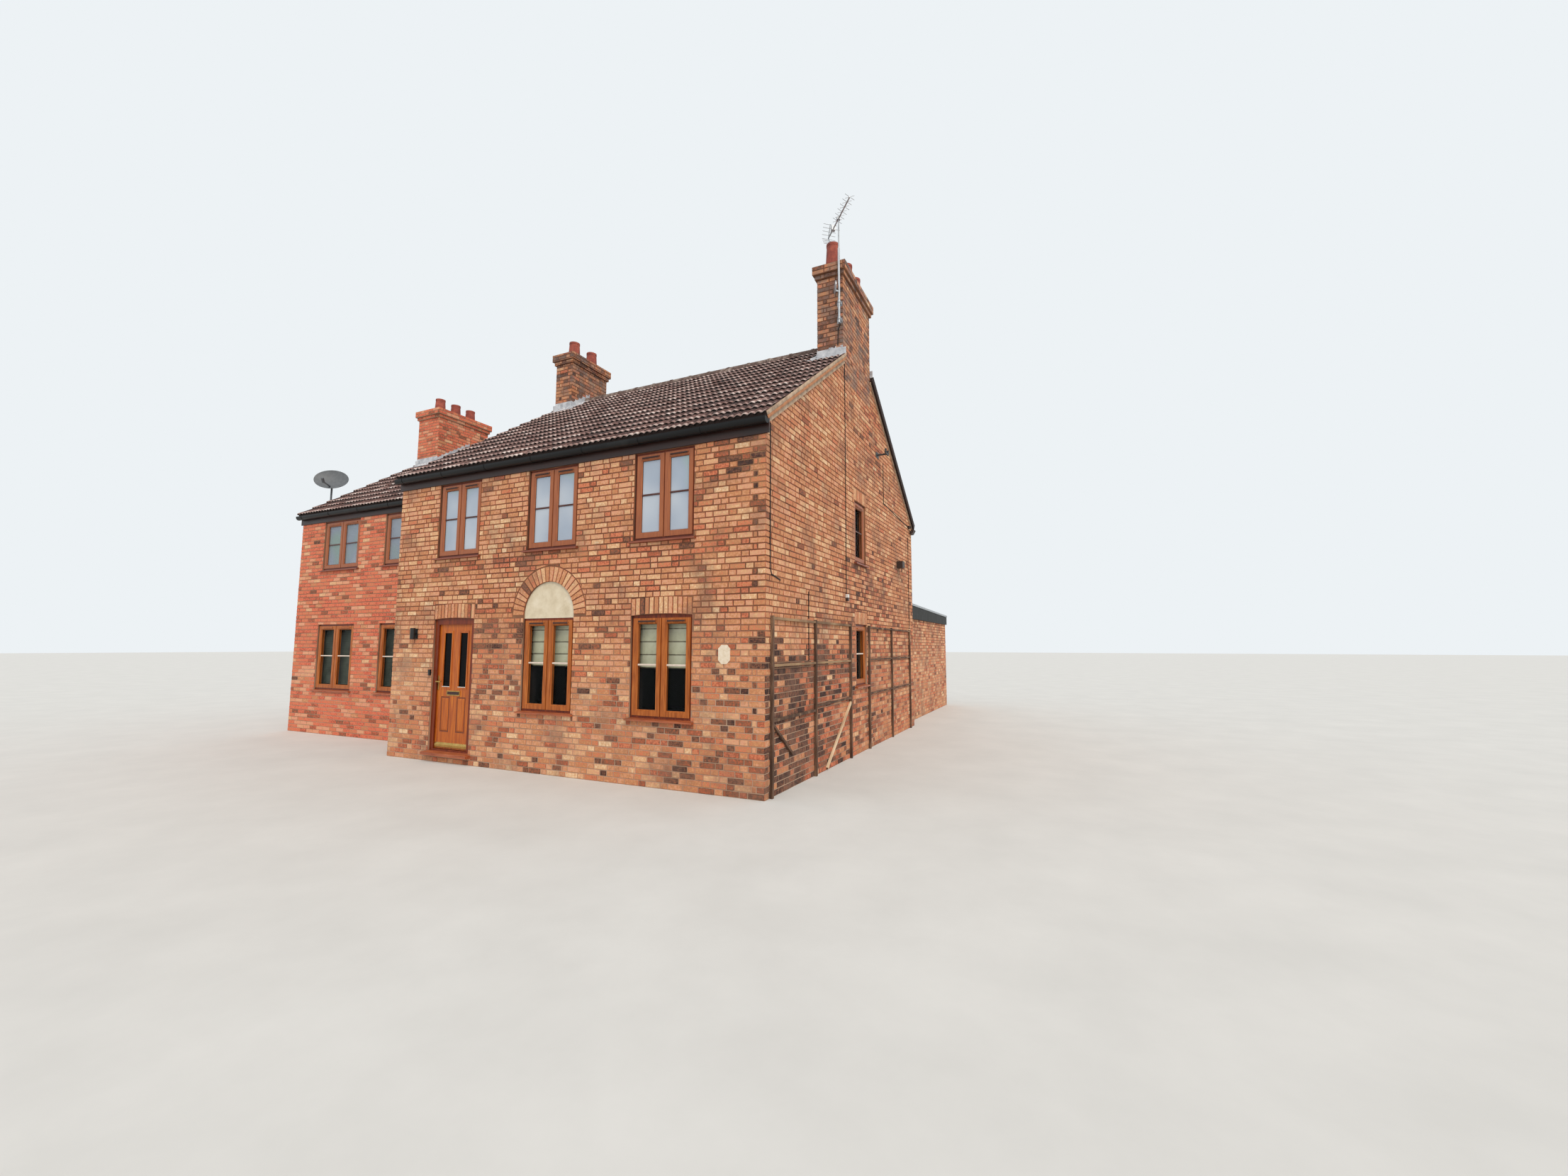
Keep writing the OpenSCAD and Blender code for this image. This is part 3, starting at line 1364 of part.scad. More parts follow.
front_wall_left();
front_wall_right();
front_wall_upper();
right_gable_wall();
left_gable_wall();
back_wall();
wing_front_wall();
wing_end_wall();
wing_back_wall();
extension_side_walls();
extension_back_wall();
ground_floors();
upper_floors();
main_roof_front();
main_roof_back();
wing_roof_front();
wing_roof_back();
ridge_tiles();
right_chimney();
left_chimney();
wing_chimney();
chimney_pots();
chimney_flashings();
verge_trims();
fascia_boards();
gutters();
brick_arches();
arch_panel();
window_frames();
window_sashes();
window_glass();
wing_window_frames();
wing_window_sashes();
wing_window_glass();
window_sills();
window_blinds();
door_frame();
door_hinges();
door_sill();
door_leaf();
door_glass();
door_furniture();
wall_light();
gable_lamps();
name_plaque();
service_bracket();
wall_cables();
front_trellis();
rear_trellis();
tv_aerial();
satellite_dish();
extension_roof();
extension_fascia();
extension_trim();
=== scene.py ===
"""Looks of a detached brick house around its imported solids, in metres and in their own frame:
laid bricks, profiled roof tiles, wood-grain windows, folded blinds and weathered metal."""

import json
import logging
import math
import random
from collections.abc import Callable, Iterator
from dataclasses import dataclass, field, replace
from enum import Enum
from typing import Any

import bpy
import numpy as np
from bpy.types import Material, Node, NodeSocket, NodeTree, Object, World
from mathutils import Matrix, Vector

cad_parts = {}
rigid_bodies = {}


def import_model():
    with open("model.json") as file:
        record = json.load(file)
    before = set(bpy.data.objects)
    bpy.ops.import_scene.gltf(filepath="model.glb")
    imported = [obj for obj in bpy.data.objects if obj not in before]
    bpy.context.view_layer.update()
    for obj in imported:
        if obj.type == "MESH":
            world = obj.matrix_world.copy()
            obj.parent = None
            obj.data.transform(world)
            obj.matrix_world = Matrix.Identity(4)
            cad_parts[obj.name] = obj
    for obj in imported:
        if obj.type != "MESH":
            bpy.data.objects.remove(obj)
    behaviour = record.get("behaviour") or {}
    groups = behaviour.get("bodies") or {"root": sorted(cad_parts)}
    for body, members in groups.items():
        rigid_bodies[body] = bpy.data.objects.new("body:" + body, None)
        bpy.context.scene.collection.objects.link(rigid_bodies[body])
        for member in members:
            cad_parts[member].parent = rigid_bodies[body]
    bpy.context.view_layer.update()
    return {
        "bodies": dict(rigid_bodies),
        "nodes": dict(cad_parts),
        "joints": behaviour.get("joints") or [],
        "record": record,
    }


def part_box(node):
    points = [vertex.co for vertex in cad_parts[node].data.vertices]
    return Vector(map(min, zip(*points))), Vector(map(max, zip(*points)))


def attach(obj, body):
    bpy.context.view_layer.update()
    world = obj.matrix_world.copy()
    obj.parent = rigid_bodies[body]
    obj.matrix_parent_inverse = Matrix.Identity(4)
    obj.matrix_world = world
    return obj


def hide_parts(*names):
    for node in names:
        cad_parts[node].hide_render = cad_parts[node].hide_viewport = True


Outline = list[tuple[float, float]]
Box = tuple[Vector, Vector]
Triple = tuple[float, float, float]

LOG = logging.getLogger("house")
MM = 0.001
HOUSE = "house"
DOOR = "front_door"
SEED = 11
ROOF_PITCH = math.radians(35)
COS, SIN, RISE = math.cos(ROOF_PITCH), math.sin(ROOF_PITCH), math.tan(ROOF_PITCH)
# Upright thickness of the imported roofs, and how far their courses stand out at the foot
ROOF_T = 70 * MM
COURSE_FOOT = 34 * MM
# Length of a stretcher and of a header
STRETCHER, HEADER = 0.215, 0.1025
# How strong the painted shade on the edges of the old and of the newer bricks is, as a share of the old ones
OLD_JOINT_SHADE, NEW_JOINT_SHADE = 1.0, 0.3
# A place beyond the house on any side
FAR = 99.0
# The sockets of a Mix node that blends two colours
COLOUR_A, COLOUR_B, BLENDED = 6, 7, 2


def linear(code: str) -> tuple[float, float, float, float]:
    """Turns an sRGB hex colour to linear light.

    Args:
        code: The colour, such as "#B3693A".

    Returns:
        Red, green, blue and an alpha of 1.
    """
    parts = [int(code[i : i + 2], 16) / 255 for i in (1, 3, 5)]
    light = [c / 12.92 if c <= 0.04045 else ((c + 0.055) / 1.055) ** 2.4 for c in parts]
    return light[0], light[1], light[2], 1.0


def spread(colours: str) -> list[tuple[float, tuple]]:
    """Spaces sRGB hex colours evenly along a ramp."""
    codes = colours.split()
    return [(i / max(1, len(codes) - 1), linear(code)) for i, code in enumerate(codes)]


def add_node(tree: NodeTree, kind: str, inputs: dict | None = None, **settings: Any) -> Node:
    """Adds one node with its settings and links.

    Args:
        tree: The tree that it goes into.
        kind: The end of the node's type name.
        inputs: For each input, by name or number, a value, a socket, or a node for its first output.
        settings: Its properties; stops fills a colour ramp with (place, colour) pairs.

    Returns:
        The new node.
    """
    node = tree.nodes.new("ShaderNode" + kind)
    for name, value in settings.items():
        if name != "stops":
            setattr(node, name, value)
            continue
        elements = node.color_ramp.elements
        while len(elements) < len(value):
            elements.new(1.0)
        for element, (position, colour) in zip(elements, value):
            element.position = position
            element.color = colour
    for name, value in (inputs or {}).items():
        source = value.outputs[0] if isinstance(value, Node) else value
        if isinstance(source, NodeSocket):
            tree.links.new(source, node.inputs[name])
        else:
            node.inputs[name].default_value = source
    return node


def blank(data: Material | World) -> NodeTree:
    """Gives a material or the world an empty tree.

    Args:
        data: The material or the world.

    Returns:
        Its tree.
    """
    data.use_nodes = True
    data.node_tree.nodes.clear()
    return data.node_tree


@dataclass(frozen=True)
class Finish:
    """A surface with mottled colour, a fine grain and patches of dirt."""

    name: str  # the real material and how its surface was made
    slot: str  # the record's material slot
    colours: str  # sRGB hex colours from dark to light
    mottle_mm: float = 60.0  # size of the colour patches
    roughness: float = 0.6
    bump_mm: float = 0.3  # height of the raised grain
    grain_mm: float = 3.0  # its size
    stretch: Triple = (1.0, 1.0, 1.0)  # how much finer the patches are along each axis
    contrast: float = 1.0  # how far the mottling reaches along the colours
    metallic: float = 0.0
    ior: float = 1.5
    dirt: tuple[str, float, float] | None = None  # its colour, the size of its patches in mm and its share
    toned: bool = False  # True where the pieces' own tone picks the colour
    nodes: str = ""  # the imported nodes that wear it

    # The range that noise keeps to
    NOISE = {"From Min": 0.3, "From Max": 0.7}
    # Where dirt begins in its noise, how far its share moves that, its soft edge and how well it covers
    DIRT_FROM, DIRT_REACH, DIRT_EDGE, DIRT_COVER = 0.62, 0.3, 0.22, 0.8
    # How far the roughness varies
    GLOSS = 0.12

    def overlay(self, tree: NodeTree, place: NodeSocket, colour: NodeSocket) -> NodeSocket:
        """Changes the colour by place; a plain finish leaves it."""
        return colour

    def build(self) -> Material:
        """Makes the material.

        Returns:
            The material.
        """
        material = bpy.data.materials.new(self.name)
        tree = blank(material)
        place = add_node(tree, "TexCoord").outputs["Object"]
        pattern = add_node(tree, "Mapping", {"Vector": place, "Scale": self.stretch})
        looks = {"Vector": pattern, "Scale": 1000 / self.mottle_mm, "Detail": 5.0, "Roughness": 0.62}
        mottle = add_node(tree, "TexNoise", looks)
        looks = {"Vector": pattern, "Scale": 1000 / self.grain_mm, "Detail": 3.0, "Roughness": 0.6}
        grain = add_node(tree, "TexNoise", looks)
        noise = {"Value": mottle} | self.NOISE
        base, half = 0.0 if self.toned else 0.5, 0.5 * self.contrast
        along = add_node(tree, "MapRange", noise | {"To Min": base - half, "To Max": base + half})
        if self.toned:
            tone = add_node(tree, "Attribute", attribute_name="tone").outputs["Fac"]
            along = add_node(tree, "Math", {0: tone, 1: along}, operation="ADD")
        colour = add_node(tree, "ValToRGB", {"Fac": along}, stops=spread(self.colours)).outputs[0]
        if self.dirt:
            code, size, share = self.dirt
            looks = {"Vector": place, "Scale": 1000 / size, "Detail": 7.0, "Roughness": 0.7}
            cloud = add_node(tree, "TexNoise", looks)
            start = self.DIRT_FROM - self.DIRT_REACH * share
            ends = {"From Min": start, "From Max": start + self.DIRT_EDGE, "To Max": self.DIRT_COVER}
            cover = add_node(tree, "MapRange", {"Value": cloud} | ends)
            looks = {"Factor": cover, COLOUR_A: colour, COLOUR_B: linear(code)}
            colour = add_node(tree, "Mix", looks, data_type="RGBA").outputs[BLENDED]
        low, high = self.roughness * (1 - self.GLOSS), min(1.0, self.roughness * (1 + self.GLOSS))
        gloss = add_node(tree, "MapRange", noise | {"To Min": low, "To Max": high})
        raised = add_node(tree, "Bump", {"Height": grain, "Distance": self.bump_mm * MM, "Strength": 1.0})
        looks = {"Base Color": self.overlay(tree, place, colour), "Roughness": gloss, "Normal": raised}
        shader = add_node(tree, "BsdfPrincipled", looks | {"Metallic": self.metallic, "IOR": self.ior})
        add_node(tree, "OutputMaterial", {"Surface": shader})
        return material


@dataclass(frozen=True)
class WallBody(Finish):
    """Mortar on the outer faces, and painted shade of the unlit rooms on the faces inside them."""

    # painted shade of the unlit rooms, on the faces inside them
    room_shade: str = "#1A100C"
    pale: str = "#BB9B82"  # the newer pointing low down
    pale_top: float = 2.3  # height at which it ends
    pale_fade: float = 1.1  # how far below that it is whole
    wing_x: float = -FAR  # place beyond which the wing is newly pointed all over
    rooms: tuple[tuple[float, float, float, float], ...] = ()  # low and high x and y inside each part's walls
    ceiling: float = 4.5  # height up to which the painted room shade reaches

    def overlay(self, tree: NodeTree, place: NodeSocket, colour: NodeSocket) -> NodeSocket:
        """Lays newer pointing over the mortar, and painted shade of the unlit rooms inside them.

        Args:
            tree: The material's tree.
            place: The place on the object.
            colour: The mortar's colour.

        Returns:
            The colour to use.
        """
        axes = add_node(tree, "SeparateXYZ", {0: place}).outputs
        fade = {"From Min": self.pale_top, "From Max": self.pale_top - self.pale_fade, "To Max": 1.5}
        low = add_node(tree, "MapRange", {"Value": axes["Z"]} | fade)
        cloud = add_node(tree, "TexNoise", {"Vector": place, "Scale": 1.3})
        wing = add_node(tree, "Math", {0: axes["X"], 1: self.wing_x}, operation="LESS_THAN")
        low = add_node(tree, "Math", {0: low, 1: wing}, operation="MAXIMUM")
        low = add_node(tree, "Math", {0: low, 1: cloud}, operation="MULTIPLY", use_clamp=True)
        looks = {"Factor": low, COLOUR_A: colour, COLOUR_B: linear(self.pale)}
        colour = add_node(tree, "Mix", looks, data_type="RGBA").outputs[BLENDED]
        # painted shade of the unlit rooms on every face inside them
        inside = 0.0
        for x0, x1, y0, y1 in self.rooms:
            room = 1.0
            for axis, a, b in ((axes["X"], x0, x1), (axes["Y"], y0, y1), (axes["Z"], 0.0, self.ceiling)):
                ends = {0: axis, 1: (a + b) / 2, 2: (b - a) / 2}
                within = add_node(tree, "Math", ends, operation="COMPARE")
                room = add_node(tree, "Math", {0: room, 1: within}, operation="MULTIPLY")
            inside = add_node(tree, "Math", {0: inside, 1: room}, operation="MAXIMUM")
        looks = {"Factor": inside, COLOUR_A: colour, COLOUR_B: linear(self.room_shade)}
        return add_node(tree, "Mix", looks, data_type="RGBA").outputs[BLENDED]


@dataclass(frozen=True)
class Foil(Finish):
    """Printed foil that is darker on the upper storey."""

    upper: str = "#70382A"  # what the upper storey's foil is blended with
    blend: float = 0.6  # how far it is blended
    storey: float = 2.75  # height where the upper storey starts

    def overlay(self, tree: NodeTree, place: NodeSocket, colour: NodeSocket) -> NodeSocket:
        """Darkens the foil above the storey's height.

        Args:
            tree: The material's tree.
            place: The place on the object.
            colour: The foil's colour.

        Returns:
            The colour to use.
        """
        height = add_node(tree, "SeparateXYZ", {0: place}).outputs["Z"]
        above = add_node(tree, "Math", {0: height, 1: self.storey}, operation="GREATER_THAN")
        share = add_node(tree, "Math", {0: above, 1: self.blend}, operation="MULTIPLY")
        looks = {"Factor": share, COLOUR_A: colour, COLOUR_B: linear(self.upper)}
        return add_node(tree, "Mix", looks, data_type="RGBA").outputs[BLENDED]


@dataclass(frozen=True)
class Glazing:
    """A sealed glass unit: clear below, and painted with a reflection of the bright sky on the upper front
    panes.
    """

    name: str
    slot: str
    nodes: str
    painted_sky: str = "#CDD6E0"  # the painted sky reflection's bright parts
    painted_sky_dim: str = "#AAB8CA"  # its darker parts
    painted_sky_green: str = "#A3BDB8"  # its greener parts
    clear: str = "#E8ECEA"  # the light that falls through
    sky_share: float = 0.86  # how much of the painted sky shows in the main block's upper panes
    wing_share: float = 0.5  # how much of that in the wing's
    shine: float = 0.008  # how much the clear panes mirror
    low: float = 2.5  # height below which the panes are clear
    high: float = 3.0  # height above which they show the painted sky
    left: float = 0.0  # place of the main block's left face
    blur: float = 50 * MM  # how gently the panes change there
    right: float = FAR  # place beyond which the gable's panes stay clear

    def build(self) -> Material:
        """Makes the material.

        Returns:
            The material.
        """
        material = bpy.data.materials.new(self.name)
        tree = blank(material)
        place = add_node(tree, "TexCoord").outputs["Object"]
        axes = add_node(tree, "SeparateXYZ", {0: place}).outputs
        # share of the painted sky reflection: on the upper panes, less in the wing, none on the gable
        ends = {"From Min": self.low, "From Max": self.high, "To Max": self.sky_share}
        upper = add_node(tree, "MapRange", {"Value": axes["Z"]} | ends)
        ends = {"From Min": self.left - self.blur, "From Max": self.left + self.blur}
        wing = add_node(tree, "MapRange", {"Value": axes["X"], "To Min": self.wing_share} | ends)
        front = add_node(tree, "Math", {0: axes["X"], 1: self.right}, operation="LESS_THAN")
        for part in (wing, front):
            upper = add_node(tree, "Math", {0: upper, 1: part}, operation="MULTIPLY")
        cloud = add_node(tree, "TexNoise", {"Vector": place, "Scale": 0.9, "Detail": 2.0})
        stops = [(0.32, linear(self.painted_sky_green)), (0.45, linear(self.painted_sky_dim)), (0.66, linear(self.painted_sky))]
        painted_sky = add_node(tree, "ValToRGB", {"Fac": cloud}, stops=stops)
        through = add_node(tree, "BsdfTransparent", {0: (1.0, 1.0, 1.0, 1.0)})
        shine = add_node(tree, "BsdfGlossy", {"Color": linear(self.painted_sky), "Roughness": 0.03})
        clear = add_node(tree, "MixShader", {0: self.shine, 1: through, 2: shine})
        # painted reflection: the sky's colours laid on the upper panes as their own colour
        painted_reflection = add_node(tree, "BsdfPrincipled", {"Base Color": painted_sky, "Roughness": 0.06, "IOR": 1.52})
        pane = add_node(tree, "MixShader", {0: upper, 1: clear, 2: painted_reflection})
        shadow = add_node(tree, "LightPath").outputs["Is Shadow Ray"]
        lit = add_node(tree, "BsdfTransparent", {0: linear(self.clear)})
        shader = add_node(tree, "MixShader", {0: shadow, 1: pane, 2: lit})
        add_node(tree, "OutputMaterial", {"Surface": shader})
        return material


class Clay(Enum):
    """The colours of the bricks, from burnt headers to pale buff, in the order of the tone."""

    BURNT = "#38241F"
    PLUM = "#5E3A2D"
    CHOCOLATE = "#815640"
    RUST = "#9E5C3E"
    RED = "#B86244"
    SALMON = "#DA825C"
    BROWN = "#BC8058"
    TAN = "#D09264"
    PINK = "#DC9F80"
    BUFF = "#D9A678"
    STRAW = "#E6BA8E"
    CREAM = "#EFD0AA"


# The clays that are rosier in the newer bricks
ROSY = {Clay.RED: "#CE6249", Clay.SALMON: "#E87E5C", Clay.PINK: "#EA9C82"}


class Mix(Enum):
    """How many bricks of each clay a part of a wall has, in the order of Clay."""

    FACADE = (0, 0, 1, 2, 1, 5, 12, 38, 15, 27, 6, 0)
    GABLE = (0, 0, 1, 1, 0, 1, 24, 40, 6, 24, 4, 0)
    DARK = (0, 3, 14, 18, 8, 6, 34, 14, 4, 2, 0, 0)
    CORNER = (20, 34, 26, 8, 2, 0, 8, 2, 0, 0, 0, 0)
    RED = (0, 0, 3, 12, 22, 34, 12, 10, 8, 2, 0, 0)
    DEEP_RED = (4, 12, 14, 26, 30, 8, 2, 2, 1, 0, 0, 0)
    PALE = (0, 0, 0, 0, 2, 14, 4, 18, 34, 24, 8, 0)
    WING = (0, 0, 1, 4, 15, 54, 1, 3, 19, 3, 0, 0)
    WING_STACK = (0, 0, 1, 3, 20, 54, 1, 2, 17, 2, 0, 0)
    STACK = (0, 2, 10, 6, 2, 2, 40, 26, 3, 8, 1, 0)
    STACK_FRONT = (1, 8, 32, 12, 3, 1, 34, 8, 1, 1, 0, 0)
    OLD_STACK = (0, 4, 20, 8, 2, 2, 38, 20, 2, 4, 0, 0)
    EXTENSION = (0, 0, 1, 3, 6, 16, 10, 26, 18, 16, 4, 0)
    ARCH = (0, 0, 1, 2, 1, 3, 16, 36, 10, 26, 5, 0)

    def tone(self, chance: random.Random) -> float:
        """Draws a brick's place along the clays, from 0, burnt, to 1, cream."""
        index = chance.choices(range(len(Clay)), self.value)[0]
        return min(1.0, max(0.0, (index + chance.uniform(-0.5, 0.5)) / (len(Clay) - 1)))


@dataclass(frozen=True)
class Solid:
    """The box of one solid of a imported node."""

    low: Vector
    high: Vector

    @property
    def size(self) -> Vector:
        """Its size along x, y and z."""
        return self.high - self.low

    @property
    def middle(self) -> Vector:
        """Its middle."""
        return (self.high + self.low) / 2


@dataclass(frozen=True)
class Rect:
    """An upright rectangle on a wall."""

    u0: float
    u1: float
    z0: float
    z1: float

    @property
    def mirrored(self) -> "Rect":
        """The same rectangle seen from behind the wall."""
        return Rect(-self.u1, -self.u0, self.z0, self.z1)

    def minus(self, hole: "Rect", least: float) -> list["Rect"]:
        """Cuts a hole out of the rectangle.

        Args:
            hole: What is cut out.
            least: Pieces thinner than this are dropped.

        Returns:
            The pieces that are left.
        """
        if hole.u0 >= self.u1 or hole.u1 <= self.u0 or hole.z0 >= self.z1 or hole.z1 <= self.z0:
            return [self]
        left, right = max(self.u0, hole.u0), min(self.u1, hole.u1)
        pieces = [Rect(self.u0, hole.u0, self.z0, self.z1), Rect(hole.u1, self.u1, self.z0, self.z1),
                  Rect(left, right, self.z0, hole.z0), Rect(left, right, hole.z1, self.z1)]
        return [p for p in pieces if p.u1 - p.u0 > least and p.z1 - p.z0 > least]


def cut(outline: Outline, line: Triple) -> Outline:
    """Cuts a convex outline along a line.

    Args:
        outline: Its corners, in order.
        line: a, b and c, where a·u + b·z is at most c in what is kept.

    Returns:
        The corners of what is left.
    """
    a, b, c = line
    kept = []
    for (u0, z0), (u1, z1) in zip(outline, outline[1:] + outline[:1]):
        d0, d1 = a * u0 + b * z0 - c, a * u1 + b * z1 - c
        if d0 <= 0:
            kept.append((u0, z0))
        if d0 * d1 < 0:
            part = d0 / (d0 - d1)
            kept.append((u0 + part * (u1 - u0), z0 + part * (z1 - z0)))
    return kept


def area_of(outline: Outline) -> float:
    """Works out the area of an outline whose corners run counter-clockwise."""
    return sum(u0 * z1 - u1 * z0 for (u0, z0), (u1, z1) in zip(outline, outline[1:] + outline[:1])) / 2


def middle_of(outline: Outline) -> tuple[float, float]:
    """Works out the middle of an outline's corners."""
    return sum(p[0] for p in outline) / len(outline), sum(p[1] for p in outline) / len(outline)


@dataclass(frozen=True)
class Patch:
    """A part of a wall where other bricks prevail."""

    u: float  # its middle along the wall
    z: float  # its middle height
    half_u: float
    half_z: float
    share: float  # share of its bricks that are of its own mix in the middle
    mix: Mix

    def share_at(self, u: float, z: float) -> float:
        """Works out the share of its own bricks at a place, falling off towards its edges."""
        reach = max(abs(u - self.u) / self.half_u, abs(z - self.z) / self.half_z)
        return self.share * min(1.0, max(0.0, 3.0 - 2.0 * reach if reach > 1 else 1.0))


class Bond(Enum):
    """How the bricks of a course follow each other."""

    FLEMISH = (STRETCHER, HEADER)
    STRETCHER = (STRETCHER, STRETCHER)


@dataclass
class WallFace:
    """One outer face of a wall, seen from outside with u to the right and z up."""

    normal: Vector  # the outward direction, along x or y
    place: float  # the plane's distance from the origin along it
    span: Rect
    mix: Mix
    bond: Bond = Bond.FLEMISH
    from_right: bool = False  # True where the courses are set out from the right-hand corner
    turn: int = 0  # 1 where the courses start the other way round
    fine: bool = False  # True where the bricks get softened edges
    # how strong the painted shade on its bricks' edges is
    worn: float = OLD_JOINT_SHADE
    lines: list[Triple] = field(default_factory=list)  # what cuts it, as cut() takes it
    holes: list[Rect] = field(default_factory=list)
    rings: list[Triple] = field(default_factory=list)  # middle and radius of round arches
    patches: list[Patch] = field(default_factory=list)

    @classmethod
    def facing(cls, normal: tuple[int, int], place: float, span: Rect, mix: Mix, **rest: Any) -> "WallFace":
        """Sets out a face on a plane.

        Args:
            normal: The outward direction along x and y.
            place: The plane's coordinate along that axis.
            span: The rectangle that it fills, in x or y and z, whichever way it faces.
            mix: Its bricks.
            rest: Its other fields.

        Returns:
            The wall face.
        """
        x, y = normal
        return cls(Vector((x, y, 0)), place * (x + y), span if x - y > 0 else span.mirrored, mix, **rest)

    @property
    def across(self) -> Vector:
        """The direction of u."""
        return Vector((-self.normal.y, self.normal.x, 0))

    def covers(self, solid: Solid, reach: float = 0.13) -> Rect | None:
        """Works out what a solid takes up on the face.

        Args:
            solid: A window frame, sill or the like.
            reach: How near to the plane it must come.

        Returns:
            Its rectangle, or None where it is elsewhere.
        """
        ends = sorted((self.normal.dot(solid.low), self.normal.dot(solid.high)))
        sides = sorted((self.across.dot(solid.low), self.across.dot(solid.high)))
        if ends[1] < self.place - reach or ends[0] > self.place + reach:
            return None
        if sides[1] < self.span.u0 or sides[0] > self.span.u1:
            return None
        return Rect(sides[0], sides[1], solid.low.z, solid.high.z)


def joined_mesh(name: str, places: np.ndarray, faces: list[list[int]], tones: np.ndarray) -> Object:
    """Makes one mesh of many small things.

    Args:
        name: The piece's name.
        places: The corners' places.
        faces: The corners of each face.
        tones: The tone of each face.

    Returns:
        The piece.
    """
    mesh = bpy.data.meshes.new(name)
    mesh.from_pydata(places.tolist(), [], faces)
    mesh.attributes.new("tone", "FLOAT", "FACE").data.foreach_set("value", tones.astype(np.float32))
    piece = bpy.data.objects.new(name, mesh)
    bpy.context.scene.collection.objects.link(piece)
    return piece


@dataclass(frozen=True)
class Brick:
    """One brick that stands out of a wall."""

    face: WallFace
    outline: Outline
    stand: float  # how far it stands out
    tilt: float  # how far it leans out at one end and in at the other
    tone: float
    edge: float  # the tone of its edges, darkened by painted shade in the joints


